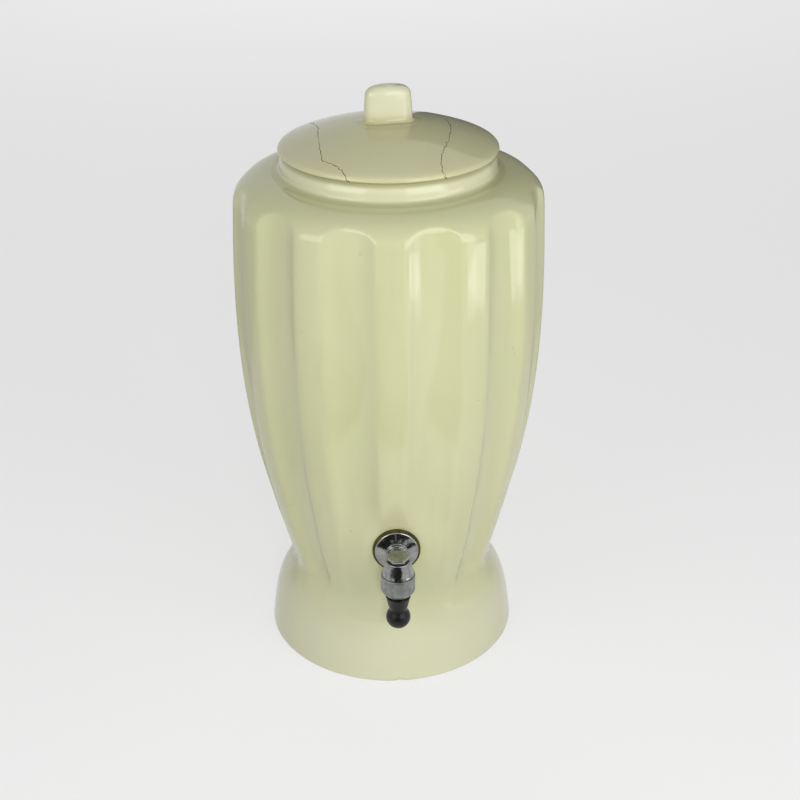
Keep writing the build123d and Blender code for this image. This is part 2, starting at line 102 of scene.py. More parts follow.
class Wall(IntEnum):
    """Which wall of the casting a ring of vertices lies on."""

    PLAIN = 0
    OUTSIDE = 1
    INSIDE = 2
    HOLLOW = 3
    SEAT = 4


class NodeSheet:
    """A material's nodes, added and linked with short calls."""

    def __init__(self, name: str) -> None:
        """Starts a material with its shader and Object coordinates.

        Args:
            name: The material's name.
        """
        self.material = bpy.data.materials.new(name)
        self.material.use_nodes = True
        self.tree = self.material.node_tree
        self.shader = self.tree.nodes["Principled BSDF"]
        self.place = self.add("ShaderNodeTexCoord").outputs["Object"]

    def feed(self, socket: Socket, value: object) -> None:
        """Links a socket, or sets its own value.

        Args:
            socket: The input to fill.
            value: Another socket, a number or a colour.
        """
        if isinstance(value, Socket):
            self.tree.links.new(value, socket)
        elif isinstance(value, tuple) and socket.type == "RGBA":
            socket.default_value = (*value, 1.0)
        else:
            socket.default_value = value

    def add(self, kind: str, inputs: dict | None = None, **settings: object) -> bpy.types.Node:
        """Adds a node.

        Args:
            kind: The node's type.
            inputs: Values or sockets by input name or number.
            settings: The node's own properties.

        Returns:
            The node.
        """
        node = self.tree.nodes.new(kind)
        for key, value in settings.items():
            setattr(node, key, value)
        for key, value in (inputs or {}).items():
            self.feed(node.inputs[key], value)
        return node

    def noise(self, size: float, detail: float = 3.0, stretch: Colour = (1.0, 1.0, 1.0)) -> Socket:
        """Noise with features of a given size.

        Args:
            size: Length of a feature in millimetres.
            detail: Octaves.
            stretch: How much longer a feature is along each axis.

        Returns:
            The noise value.
        """
        scale = tuple(1.0 / (size * MM * part) for part in stretch)
        place = self.add("ShaderNodeMapping", {"Vector": self.place, "Scale": scale}).outputs[0]
        return self.add("ShaderNodeTexNoise", {"Vector": place, "Scale": 1.0, "Detail": detail}).outputs[0]

    def span(self, value: Socket, low: float, high: float, to_low: float, to_high: float) -> Socket:
        """Maps one range smoothly onto another, clamped."""
        inputs = {"Value": value, 1: low, 2: high, 3: to_low, 4: to_high}
        return self.add("ShaderNodeMapRange", inputs, interpolation_type="SMOOTHSTEP").outputs[0]

    def mix(self, share: object, first: object, second: object) -> Socket:
        """Mixes two colours by a share of the second."""
        return self.add("ShaderNodeMix", {0: share, 6: first, 7: second}, data_type="RGBA").outputs[2]

    def calc(self, operation: str, first: object, second: object) -> Socket:
        """One sum of two values."""
        return self.add("ShaderNodeMath", {0: first, 1: second}, operation=operation).outputs[0]

    def specks(self, spacing: float, radius: float) -> Socket:
        """Scattered round specks, 1 inside a speck.

        Args:
            spacing: Length of the cells that hold one speck each, in millimetres.
            radius: A speck's radius in millimetres.

        Returns:
            The specks' mask.
        """
        inputs = {"Vector": self.place, "Scale": 1.0 / (spacing * MM)}
        distance = self.add("ShaderNodeTexVoronoi", inputs).outputs[0]
        return self.span(distance, radius / spacing, 0.5 * radius / spacing, 0.0, 1.0)

    def attribute(self, name: str) -> Socket:
        """A value that the mesh carries at its points."""
        return self.add("ShaderNodeAttribute", attribute_name=name).outputs["Fac"]

    def bump(self, height: Socket, depth: float, below: Socket | None = None) -> Socket:
        """Relief from a height of 0 to 1.

        Args:
            height: The height.
            depth: Its depth in millimetres.
            below: A relief that this one lies on.

        Returns:
            The normal.
        """
        inputs = {"Height": height, "Distance": depth * MM, "Strength": 1.0}
        if below is not None:
            inputs["Normal"] = below
        return self.add("ShaderNodeBump", inputs).outputs[0]

    def show(self, shader: bpy.types.Node) -> None:
        """Sends another shader to the material's surface."""
        self.feed(self.tree.nodes["Material Output"].inputs["Surface"], shader.outputs[0])


@dataclass(frozen=True)
class Finish:
    """A surface: two tones that drift into each other, a gloss that wanders, and a fine relief."""

    name: str
    slot: Slot
    colour: Colour
    shade: Colour
    drift: float = 30.0
    roughness: float = 0.4
    wander: float = 0.08
    grain: float = 4.0
    relief: float = 0.02
    metallic: float = 0.0
    ior: float = 1.5
    stretch: Colour = (1.0, 1.0, 1.0)
    speck_colour: Colour | None = None
    speck_spacing: float = 12.0
    speck_radius: float = 0.5

    def dress(self, sheet: NodeSheet, colour: Socket) -> Socket:
        """What a special finish lays over the base colour; nothing here."""
        return colour

    def material(self) -> bpy.types.Material:
        """The finish as a material, made once.

        Returns:
            The material.
        """
        name = self.name + "_finish"
        known = bpy.data.materials.get(name)
        if known:
            return known
        sheet = NodeSheet(name)
        inputs = sheet.shader.inputs
        inputs["Metallic"].default_value = self.metallic
        inputs["IOR"].default_value = self.ior
        tone = sheet.span(sheet.noise(self.drift), *TONE_SPAN, 0.0, 1.0)
        colour = sheet.mix(tone, self.colour, self.shade)
        fine = sheet.noise(self.grain, 4.0, self.stretch)
        gloss = (self.roughness - self.wander / 2, self.roughness + self.wander / 2)
        rough = sheet.span(fine, *GLOSS_SPAN, *gloss)
        normal = sheet.bump(fine, self.relief)
        if self.speck_colour:
            specks = sheet.specks(self.speck_spacing, self.speck_radius)
            colour = sheet.mix(specks, colour, self.speck_colour)
            normal = sheet.bump(sheet.calc("SUBTRACT", 1.0, specks), self.speck_radius / 4, normal)
        sheet.feed(inputs["Base Color"], self.dress(sheet, colour))
        sheet.feed(inputs["Roughness"], rough)
        sheet.feed(inputs["Normal"], normal)
        return sheet.material


@dataclass(frozen=True)
class Glaze(Finish):
    """Glossy glaze with dark pools in creases, painted shade, faint runs, painted sheen and bare clay."""

    # Colour of glaze pools and runs, and of the painted shade under the lid's rim
    pool_and_shade_colour: Colour = (0.3, 0.29, 0.13)
    clay: Colour = (0.5, 0.4, 0.27)
    # Pale colour painted where a surface stands in for its sheen and highlights
    painted_sheen: Colour = (0.75, 0.75, 0.52)
    pool_and_shade_share: float = 0.4
    run_share: float = 0.04
    run_size: float = 9.0
    run_stretch: Colour = (1.0, 1.0, 14.0)
    crumb_size: float = 1.2

    def dress(self, sheet: NodeSheet, colour: Socket) -> Socket:
        """Lays runs, painted sheen, dark glaze pools, painted shade and bare clay over the glaze.

        Args:
            sheet: The material's nodes.
            colour: The glaze's colour so far.

        Returns:
            The colour with them.
        """
        runs = sheet.span(sheet.noise(self.run_size, 2.0, self.run_stretch), 0.5, 0.8, 0.0, self.run_share)
        # Painted sheen: the colour turns paler where the mesh carries this value
        colour = sheet.mix(sheet.attribute("painted_sheen"), sheet.mix(runs, colour, self.pool_and_shade_colour), self.painted_sheen)
        # Glaze pools, and painted shade at the top of the neck under the lid's rim
        pool_and_seam_shade = sheet.calc("MULTIPLY", sheet.attribute("pool_and_seam_shade"), self.pool_and_shade_share)
        colour = sheet.mix(pool_and_seam_shade, colour, self.pool_and_shade_colour)
        crumbs = sheet.span(sheet.noise(self.crumb_size, 4.0), *GLOSS_SPAN, 0.75, 1.0)
        bare = sheet.calc("MULTIPLY", sheet.attribute("bare"), crumbs)
        return sheet.mix(bare, colour, self.clay)


@dataclass(frozen=True)
class Turned(Finish):
    """Metal with a film of dirt in patches and fine rings from the lathe."""

    film: Colour = (0.12, 0.12, 0.1)
    film_share: float = 0.5
    film_size: float = 3.5

    def dress(self, sheet: NodeSheet, colour: Socket) -> Socket:
        """Lays the film over the metal's colour."""
        patches = sheet.span(sheet.noise(self.film_size, 6.0), 0.52, 0.72, 0.0, self.film_share)
        return sheet.mix(patches, colour, self.film)


GLAZE = Glaze(
    "cream_glaze", Slot.GLAZE, (0.66, 0.665, 0.4), (0.63, 0.645, 0.365), drift=120.0, roughness=0.09,
    wander=0.04, grain=14.0, relief=0.02, ior=1.52, speck_colour=(0.2, 0.16, 0.07), speck_spacing=19.0,
    speck_radius=0.5,
)
LID_GLAZE = replace(GLAZE, name="lid_glaze", colour=(0.668, 0.656, 0.4), shade=(0.638, 0.634, 0.365))
BOWL_GLAZE = replace(
    GLAZE, name="bowl_glaze", slot=Slot.BOWL_GLAZE, colour=(0.74, 0.73, 0.6), shade=(0.7, 0.69, 0.55),
)
CRACK = Finish(
    "crack_stain", Slot.GLAZE, (0.075, 0.052, 0.022), (0.03, 0.021, 0.01), drift=5.0, roughness=0.7, grain=0.6,
)
CHROME = Turned(
    "tap_chrome", Slot.CHROME, (0.36, 0.37, 0.36), (0.28, 0.29, 0.28), drift=6.0, roughness=0.13, wander=0.12,
    grain=1.2, relief=0.004, metallic=1.0,
)
BRUSHED = replace(
    CHROME, name="brushed_chrome", colour=(0.31, 0.32, 0.31), shade=(0.24, 0.25, 0.24), roughness=0.36,
    wander=0.16, grain=0.5, stretch=(8.0, 8.0, 1.0), relief=0.012,
)
BRASS = Turned(
    "tap_brass", Slot.BRASS, (0.62, 0.43, 0.16), (0.5, 0.34, 0.13), drift=5.0, roughness=0.3, wander=0.2,
    grain=0.8, relief=0.01, metallic=1.0, film=(0.14, 0.09, 0.03),
)
STEEL = Turned(
    "spring_steel", Slot.SPRING, (0.5, 0.5, 0.5), (0.42, 0.42, 0.42), drift=3.0, roughness=0.3, grain=0.6,
    metallic=1.0,
)
BLACK = Finish(
    "black_moulding", Slot.HANDLE, (0.004, 0.004, 0.005), (0.007, 0.007, 0.008), drift=8.0, roughness=0.34,
    wander=0.16, grain=2.2, relief=0.006, ior=1.38,
)
OLIVE_RUBBER = Finish(
    "olive_rubber", Slot.OLIVE_RUBBER, (0.075, 0.06, 0.004), (0.045, 0.036, 0.003), drift=7.0, roughness=0.66,
    wander=0.2, grain=0.8, relief=0.05, ior=1.38,
)
BLACK_RUBBER = Finish(
    "black_rubber", Slot.BLACK_RUBBER, (0.018, 0.018, 0.018), (0.03, 0.03, 0.029), drift=6.0, roughness=0.7,
    wander=0.2, grain=0.7, relief=0.04,
)
WHITE_PLASTIC = Finish(
    "white_plastic", Slot.WHITE_PLASTIC, (0.72, 0.72, 0.68), (0.66, 0.655, 0.6), drift=18.0, roughness=0.42,
    wander=0.14, grain=0.9, relief=0.012,
)
FLOAT_PLASTIC = Finish(
    "float_plastic", Slot.FLOAT_PLASTIC, (0.6, 0.64, 0.68), (0.56, 0.6, 0.64), drift=20.0, roughness=0.3,
    wander=0.12, grain=3.0, relief=0.02,
)
CANDLE = Finish(
    "candle_ceramic", Slot.CANDLE, (0.78, 0.755, 0.68), (0.7, 0.665, 0.57), drift=16.0, roughness=0.88,
    wander=0.1, grain=0.7, relief=0.12, speck_colour=(0.4, 0.35, 0.27), speck_spacing=4.0, speck_radius=0.3,
)
CARBON = Finish(
    "carbon", Slot.CARBON, (0.012, 0.012, 0.012), (0.03, 0.03, 0.03), drift=1.6, roughness=0.8, wander=0.3,
    grain=1.0, relief=0.3,
)


def soft_max(first: np.ndarray, second: np.ndarray, width: float) -> np.ndarray:
    """The larger of two values, rounded over where they cross."""
    return 0.5 * (first + second + np.sqrt((first - second) ** 2 + width**2))


def smooth_step(value: np.ndarray, low: float, high: float) -> np.ndarray:
    """0 below low, 1 above high and a smooth rise between."""
    share = np.clip((value - low) / (high - low), 0.0, 1.0)
    return share * share * (3.0 - 2.0 * share)


def swell(value: np.ndarray, middle: float, width: float) -> np.ndarray:
    """A bell curve, 1 at its middle."""
    return np.exp(-(((value - middle) / width) ** 2))


class Flow:
    """A smooth curve through points, with even curvature from one to the next."""

    def __init__(self, points: Sequence[tuple[float, float]]) -> None:
        """Fits the curve.

        Args:
            points: Pairs that the curve goes through.
        """
        self.points = np.array(points, float)
        steps = np.hypot(*np.diff(self.points, axis=0).T)
        self.knots = np.concatenate([[0.0], np.cumsum(steps)])
        count = len(points)
        matrix = np.eye(count)
        right = np.zeros((count, 2))
        for row in range(1, count - 1):
            before, after = steps[row - 1], steps[row]
            matrix[row, row - 1 : row + 2] = before, 2 * (before + after), after
            slopes = np.diff(self.points[row - 1 : row + 2], axis=0) / [[before], [after]]
            right[row] = 6 * (slopes[1] - slopes[0])
        self.bends = np.linalg.solve(matrix, right)

    def at(self, places: np.ndarray) -> np.ndarray:
        """Points of the curve.

        Args:
            places: Lengths along the chords.

        Returns:
            One pair for each.
        """
        spans = np.clip(np.searchsorted(self.knots, places, "right") - 1, 0, len(self.knots) - 2)
        width = (self.knots[spans + 1] - self.knots[spans])[:, None]
        after = (places - self.knots[spans])[:, None]
        before = width - after
        first, second = self.bends[spans], self.bends[spans + 1]
        start = self.points[spans] / width - first * width / 6
        end = self.points[spans + 1] / width - second * width / 6
        return (first * before**3 + second * after**3) / (6 * width) + start * before + end * after

    def run(self, count: int) -> list[tuple[float, float]]:
        """Evenly spaced points of the curve, both ends with them."""
        return [tuple(point) for point in self.at(np.linspace(0.0, self.knots[-1], count))]

    def radius_at(self, height: np.ndarray | float, samples: int = 400) -> np.ndarray:
        """The curve's radius at a height."""
        points = self.at(np.linspace(0.0, self.knots[-1], samples))
        return np.interp(height, points[:, 1], points[:, 0])


def profile(shape: Shape, outline: Sequence[Corner], closed: bool = False) -> list[bmesh.types.BMVert]:
    """Draws a wire in the X-Z plane.

    Args:
        shape: The shape that gets the wire.
        outline: Radius and height of each corner first.
        closed: Whether the wire runs back to its start.

    Returns:
        The wire's corners.
    """
    corners = [shape.verts.new((corner[0], 0.0, corner[1])) for corner in outline]
    for first, second in zip(corners, corners[1:] + corners[:1] if closed else corners[1:]):
        shape.edges.new((first, second))
    return corners


def round_off(shape: Shape, geom: list, offset: float, steps: int, affect: str) -> None:
    """Rounds corners or edges of a shape in a number of steps."""
    bmesh.ops.bevel(
        shape, geom=geom, offset=offset, offset_type="OFFSET", segments=steps, profile=0.5, affect=affect,
        material=-1, clamp_overlap=True,
    )


def turn(outline: Sequence[Corner], closed: bool = False, steps: int = 96, rounding_steps: int = 4) -> Shape:
    """A shape turned about the Z axis.

    Args:
        outline: Radius and height of each corner, and how far its rounding sets in.
        closed: True for a ring, false for an outline that starts and ends on the axis.
        steps: Facets round the axis.
        rounding_steps: Facets across a rounding.

    Returns:
        The closed shape.
    """
    shape = bmesh.new()
    for corner, vertex in zip(outline, profile(shape, outline, closed)):
        if any(corner[2:]):
            round_off(shape, [vertex], corner[2], rounding_steps, "VERTICES")
    spin(shape, steps)
    return shape


def spin(shape: Shape, steps: int) -> None:
    """Spins a wire about the Z axis, closes its seams and poles and turns its faces out.

    One eighth is spun and then doubled three times, which is far quicker than a full spin.

    Args:
        shape: The wire, which becomes the shape.
        steps: Facets round the axis, a multiple of 8.
    """
    angle = math.tau / 8
    bmesh.ops.spin(
        shape, geom=shape.verts[:] + shape.edges[:], cent=(0, 0, 0), axis=(0, 0, 1), angle=angle,
        steps=steps // 8,
    )
    while angle < math.tau - 0.1:
        twin = bmesh.ops.duplicate(shape, geom=shape.verts[:] + shape.edges[:] + shape.faces[:])["geom"]
        corners = [part for part in twin if isinstance(part, bmesh.types.BMVert)]
        bmesh.ops.rotate(shape, verts=corners, cent=(0, 0, 0), matrix=Matrix.Rotation(angle, 3, "Z"))
        angle *= 2
    bmesh.ops.remove_doubles(shape, verts=shape.verts[:], dist=1e-3)
    bmesh.ops.recalc_face_normals(shape, faces=shape.faces[:])


def hexagon(flats: float, base: float, top: float, edge: float, steps: int) -> Shape:
    """A six-sided prism with rounded edges.

    Args:
        flats: Width over the flats.
        base: Height of its foot.
        top: Height of its top.
        edge: How far the rounding sets in.
        steps: Facets across a rounding.

    Returns:
        The prism.
    """
    shape = bmesh.new()
    bmesh.ops.create_circle(shape, cap_ends=True, segments=6, radius=flats / math.sqrt(3))
    raised = bmesh.ops.extrude_face_region(shape, geom=shape.faces[:])["geom"]
    corners = [part for part in raised if isinstance(part, bmesh.types.BMVert)]
    bmesh.ops.translate(shape, vec=(0, 0, top - base), verts=corners)
    bmesh.ops.translate(shape, vec=(0, 0, base), verts=shape.verts[:])
    bmesh.ops.recalc_face_normals(shape, faces=shape.faces[:])
    round_off(shape, shape.edges[:], edge, steps, "EDGES")
    return shape


def thread(radius: float, start: float, end: float, pitch: float, depth: float) -> list[Corner]:
    """The zigzag of a thread along an outline.

    Args:
        radius: Radius over the crests.
        start: Height where it starts.
        end: Height where it ends.
        pitch: Height of one turn.
        depth: Depth of the groove.

    Returns:
        Corners of the outline.
    """
    turns = max(1, round(abs(end - start) / pitch))
    step = (end - start) / turns
    corners: list[Corner] = []
    for index in range(turns):
        base = start + index * step
        root = radius - depth
        corners += [(radius, base + 0.1 * step), (root, base + 0.45 * step), (root, base + 0.6 * step)]
    return corners + [(radius, end)]


def band(inner: float, outer: float, low: float, high: float, edges: tuple[float, float]) -> list[Corner]:
    """The outline of a flat ring; edges are how far the roundings of its hole and its rim set in."""
    hole, rim = edges
    return [(inner, low, hole), (outer, low, rim), (outer, high, rim), (inner, high, hole)]


def as_mesh(shape: Shape, name: str) -> Mesh:
    """Writes a shape to a new mesh and frees it."""
    mesh = bpy.data.meshes.new(name)
    shape.to_mesh(mesh)
    shape.free()
    return mesh


def merge(shapes: Sequence[Shape], name: str, place: Matrix | None = None) -> Mesh:
    """Puts shapes together into one mesh, in metres.

    Args:
        shapes: The closed shapes; they are freed.
        name: The mesh's name.
        place: Where the shapes go, in millimetres.

    Returns:
        The mesh.
    """
    whole = bmesh.new()
    for shape in shapes:
        part = as_mesh(shape, "part")
        whole.from_mesh(part)
        bpy.data.meshes.remove(part)
    place = place or Matrix.Identity(4)
    bmesh.ops.transform(whole, matrix=Matrix.Scale(MM, 4) @ place, verts=whole.verts[:])
    for face in whole.faces:
        face.smooth = True
    return as_mesh(whole, name)


def polar(points: np.ndarray) -> tuple[np.ndarray, np.ndarray, np.ndarray]:
    """Degrees from the front, radius and height of points."""
    across, back, height = points.T
    return np.degrees(np.arctan2(across, -back)), np.hypot(across, back), height


def spots(mesh: Mesh) -> np.ndarray:
    """A mesh's points in millimetres, one row each."""
    points = np.zeros(len(mesh.vertices) * 3)
    mesh.vertices.foreach_get("co", points)
    return points.reshape(-1, 3) / MM


def paint(mesh: Mesh, name: str, values: np.ndarray) -> None:
    """Stores a value at each point of a mesh for its material."""
    layer = mesh.attributes.new(name, "FLOAT", "POINT")
    layer.data.foreach_set("value", np.asarray(values, np.float32))


def link(name: str, data: bpy.types.ID) -> Thing:
    """Puts a new object into the scene."""
    thing = bpy.data.objects.new(name, data)
    bpy.context.scene.collection.objects.link(thing)
    return thing


@dataclass(frozen=True)
class Piece:
    """A piece's name, the body it rides on, its finish, and the CAD nodes that it stands for.

    Without a list of nodes it stands for the node of its own name.
    """

    name: str
    body: Body
    finish: Finish
    nodes: tuple[str, ...] | None = None

    def show(self, mesh: Mesh, even: bool = False) -> Thing:
        """Makes the piece's object.

        Args:
            mesh: The finished mesh, in metres and in place.
            even: Whether flat faces keep a flat shade beside their roundings.

        Returns:
            The object.
        """
        mesh.materials.append(self.finish.material())
        thing = link(self.name, mesh)
        if even:
            weigh = thing.modifiers.new("even_shade", "WEIGHTED_NORMAL")
            weigh.keep_sharp = True
        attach(thing, self.body.value)
        nodes = (self.name,) if self.nodes is None else self.nodes
        if nodes:
            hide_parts(*nodes)
        log.info("%s: %d faces, rides on %s", self.name, len(mesh.polygons), self.body.value)
        return thing

    def build(self, *shapes: Shape, place: Matrix | None = None) -> Thing:
        """Makes the piece from its shapes."""
        return self.show(merge(shapes, self.name, place), even=True)


def dress_node(node: str, finish: Finish) -> None:
    """Gives a CAD node whose shape is right its finish.

    Args:
        node: The node.
        finish: Its finish.
    """
    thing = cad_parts[node]
    thing.data.materials.clear()
    thing.data.materials.append(finish.material())
    log.info("%s: CAD shape in %s", node, finish.name)


def on_wall(points: Iterable[tuple[float, float]], wall: Wall) -> list[tuple[float, float, Wall]]:
    """Radius, height and wall of rings that lie on one wall of the casting."""
    return [(radius, height, wall) for radius, height in points]


@dataclass
class Casting:
    """The ceramic tank with its pedestal, fluted wall, shoulder and neck, in one piece.

    Pairs that end in _rise are the heights, or the cosines, between which a form sets in or fades.
    """

    foot_radius: float = 108.9
    foot_edge: float = 2.2
    foot_inner: float = 98.0
    foot_flat: float = 2.0
    pedestal: tuple = ((108.9, 0.0), (105.5, 25.0), (98.4, 48.0), (82.5, 68.0))
    pedestal_draw: float = 2.5
    ridge: tuple = ((79.0, 50.0), (86.9, 68.0), (102.0, 123.0), (112.2, 166.0), (119.0, 204.0), (126.4, 345.0),
                    (124.2, 399.5))
    shoulder: tuple = (88.5, 35.5, 399.5, 24.0)
    shoulder_share: float = 0.94
    shoulder_crowding: float = 1.25
    neck: tuple = ((93.1, 423.33), (90.2, 423.75), (87.6, 424.9), (86.3, 426.8), (86.15, 428.6), (86.1, 430.5),
                   (85.3, 434.0), (83.7, 437.3), (82.0, 439.0), (81.2, 439.3))
    seat: tuple = ((74.0, 415.5), (74.0, 432.0), (80.5, 432.0), (80.5, 439.4))
    tank: tuple = ((84.0, 414.9), (94.0, 412.9), (104.0, 408.4), (109.5, 403.5), (111.3, 399.5), (113.5, 345.0),
                   (110.6, 274.0), (105.3, 204.0), (96.4, 163.0), (87.7, 123.0), (80.6, 104.0), (74.5, 86.0))
    floor: tuple = ((0.0, 86.0), (40.0, 86.0))
    hollow: tuple = ((74.5, 76.0), (89.6, 48.0), (95.5, 25.0), (98.0, 0.0))
    hollow_roof: tuple = ((40.0, 76.0), (0.0, 76.0))
    flute_count: int = 12
    flute_depth: float = 6.8
    flute_half: float = 9.8
    flute_power: float = 2.4
    flute_soft: float = 0.23
    flute_turn: float = -1.3
    flute_edge: float = 1.6
    flute_crowding: float = 0.5
    flute_lean: float = 0.12
    flute_rise: tuple = (60.0, 90.0)
    plain_start: float = 128.0
    plain_size: tuple = (34.0, 42.0)
    waist_soft: float = 5.0
    waist_inset: float = 1.0
    waist_rise: tuple = (95.0, 120.0)
    waist_lift: float = 13.0
    lift_facing_rise: tuple = (-0.1, 0.6)
    lift_rise: tuple = (20.0, 62.0)
    tap_height: float = 135.5
    pad_reach: float = 107.5
    pad_rise: tuple = (20.5, 33.0)
    inner_reach: float = 94.5
    inner_rise: tuple = (18.0, 23.0)
    inner_span: float = 60.0
    steepest: float = 0.2
    hole_radius: float = 8.6
    hole_margin: float = 3.0
    hole_steps: int = 48
    apron: tuple = ((102.0, 30.0), (99.6, 50.0), (99.2, 70.0), (101.8, 90.0), (107.5, 113.0), (107.5, 158.0))
    apron_width: float = 52.0
    apron_power: float = 3.4
    apron_soft: float = 3.0
    apron_start_rise: tuple = (24.0, 60.0)
    apron_end_rise: tuple = (140.0, 185.0)
    chip_angle: float = 1.2
    chip_depth: float = 2.2
    chip_size: tuple = (1.5, 1.7)
    steps: int = 432

    def outline(self) -> list[tuple[float, float, Wall]]:
        """Rings of the casting from the tank's floor over the rim and down to the hollow.

        Returns:
            Radius, height and wall of each ring.
        """
        rings = on_wall(self.floor, Wall.INSIDE)
        rings += on_wall(reversed(Flow(self.tank).run(32)), Wall.INSIDE)
        for first, second in zip(self.seat, self.seat[1:]):
            middle = tuple((a + b) / 2 for a, b in zip(first, second))
            rings += on_wall((first, middle), Wall.SEAT)
        rings += on_wall(self.seat[-1:], Wall.SEAT)
        rings += on_wall(reversed(Flow(self.neck).run(26)), Wall.PLAIN)
        centre, wide, base, tall = self.shoulder
        for share in np.linspace(self.shoulder_share, 0.0, 44) ** self.shoulder_crowding:
            turned = share * QUARTER
            rings.append((centre + wide * math.cos(turned), base + tall * math.sin(turned), Wall.OUTSIDE))
        # Coarse steps down the wall, fine ones through the waist
        heights = [np.arange(395.0, 110.0, -8.0), np.arange(106.0, 44.0, -2.0), np.arange(42.5, 3.0, -3.2)]
        rings += on_wall(((self.foot_radius, height) for height in np.concatenate(heights)), Wall.OUTSIDE)
        for turned in np.linspace(0.0, QUARTER, 6):
            height = self.foot_edge * (1.0 - math.sin(turned))
            rings.append((self.foot_radius - self.foot_edge * (1.0 - math.cos(turned)), height, Wall.OUTSIDE))
        hollow = reversed(Flow(self.hollow).run(11))
        under = [(self.foot_inner + self.foot_flat, 0.0), *hollow, *self.hollow_roof]
        return rings + on_wall(under, Wall.HOLLOW)

    def skin(self, angle: np.ndarray, radius: np.ndarray, height: np.ndarray) -> np.ndarray:
        """Radius of the glazed outside.

        Args:
            angle: Degrees from the front.
            radius: Radius of the plain ring.
            height: Height over the foot.

        Returns:
            The radius with waist, flutes, tap pad and apron.
        """
        base = self.shoulder[2]
        zero = np.zeros_like(height)
        facing = np.cos(np.radians(angle))
        front = facing > 0
        across = self.pad_reach * np.sin(np.radians(angle))
        # Fluted wall, plain above the tap
        ridge = Flow(self.ridge).radius_at(height)
        ring = np.where(height >= base, radius, ridge)
        above = np.maximum(height - self.plain_start, 0.0)
        wide, tall = self.plain_size
        fade = np.where(front, np.exp(-(((across / wide) ** 2 + (above / tall) ** 2) ** 2)), 0.0)
        pitch = 360.0 / self.flute_count
        offset = (angle - self.flute_turn) % pitch - pitch / 2
        scoop = 1.0 - np.abs(offset / self.flute_half) ** self.flute_power
        scoop = soft_max(scoop, zero, self.flute_soft)
        depth = self.flute_depth * smooth_step(height, *self.flute_rise) * (1.0 - fade)
        wall = np.where(height >= base, ridge - self.flute_lean * (height - base), ridge)
        body = ring - soft_max(ring - wall + depth * scoop, zero, self.flute_edge) + self.flute_edge / 2
        # Pedestal and waist, which is raised at the front
        lift = smooth_step(facing, *self.lift_facing_rise) * smooth_step(height, *self.lift_rise)
        level = height - self.waist_lift * lift
        top_radius, top = self.pedestal[-1]
        pedestal = Flow(self.pedestal).radius_at(level)
        pedestal = np.where(level > top, top_radius - self.pedestal_draw * (level - top), pedestal)
        blend = smooth_step(height, *self.waist_rise)
        waist = soft_max(pedestal, body - self.waist_inset, self.waist_soft) * (1 - blend) + body * blend
        skin = np.where(height < self.waist_rise[1], waist, body)
        # Apron under the tap, and its flat pad
        bump = np.where(front, np.exp(-np.abs(across / self.apron_width) ** self.apron_power), 0.0)
        bump = bump * smooth_step(height, *self.apron_start_rise)
        bump = bump * (1.0 - smooth_step(height, *self.apron_end_rise))
        skin = skin + soft_max(Flow(self.apron).radius_at(height) - skin, zero, self.apron_soft) * bump
        distance = np.hypot(across, height - self.tap_height)
        flat = np.where(front, 1.0 - smooth_step(distance, *self.pad_rise), 0.0)
        return skin * (1 - flat) + self.pad_reach / np.maximum(facing, self.steepest) * flat

    def shape(self) -> Shape:
        """The casting's shape: rings spun about the axis, moved to the skin, and holed for the tap.

        Returns:
            The closed shape.
        """
        shape = bmesh.new()
        layer = shape.verts.layers.int.new("wall")
        rings = self.outline()
        for vertex, ring in zip(profile(shape, rings), rings):
            vertex[layer] = int(ring[2])
        spin(shape, self.steps)
        verts = shape.verts[:]
        walls = np.array([vertex[layer] for vertex in verts])
        angle, radius, height = polar(np.array([vertex.co for vertex in verts]))
        angle = self.crowd(angle)
        turned = np.radians(angle)
        moved = radius.copy()
        outside = walls == Wall.OUTSIDE
        skin = self.skin(angle, radius, np.maximum(height, self.foot_edge))
        rounding = np.where(height < self.foot_edge, radius - self.foot_radius, 0.0)
        moved[outside] = (skin + rounding - self.chip(angle, height))[outside]
        distance = np.hypot(self.inner_reach * np.sin(turned), height - self.tap_height)
        faced = (walls == Wall.INSIDE) & (np.abs(angle) < self.inner_span)
        flat = 1.0 - smooth_step(distance, *self.inner_rise)
        plane = self.inner_reach / np.maximum(np.cos(turned), self.steepest)
        moved[faced] = (radius * (1 - flat) + plane * flat)[faced]
        for vertex, *spot in zip(verts, moved * np.sin(turned), -moved * np.cos(turned)):
            vertex.co.xy = spot
        self.bore(shape)
        return shape

    def crowd(self, angle: np.ndarray) -> np.ndarray:
        """Crowds the vertices towards the flutes' edges, where the wall bends most.

        Args:
            angle: Even degrees from the front.

        Returns:
            Crowded degrees from the front.
        """
        pitch = 360.0 / self.flute_count
        wave = np.sin(np.radians(720.0 * (angle - self.flute_turn) / pitch))
        return angle + self.flute_crowding * pitch / (4 * math.pi) * wave

    def chip(self, angle: np.ndarray, height: np.ndarray) -> np.ndarray:
        """Depth of the small chip in the foot's front edge."""
        wide, tall = self.chip_size
        return self.chip_depth * np.exp(-(((angle - self.chip_angle) / wide) ** 2) - (height / tall) ** 2)

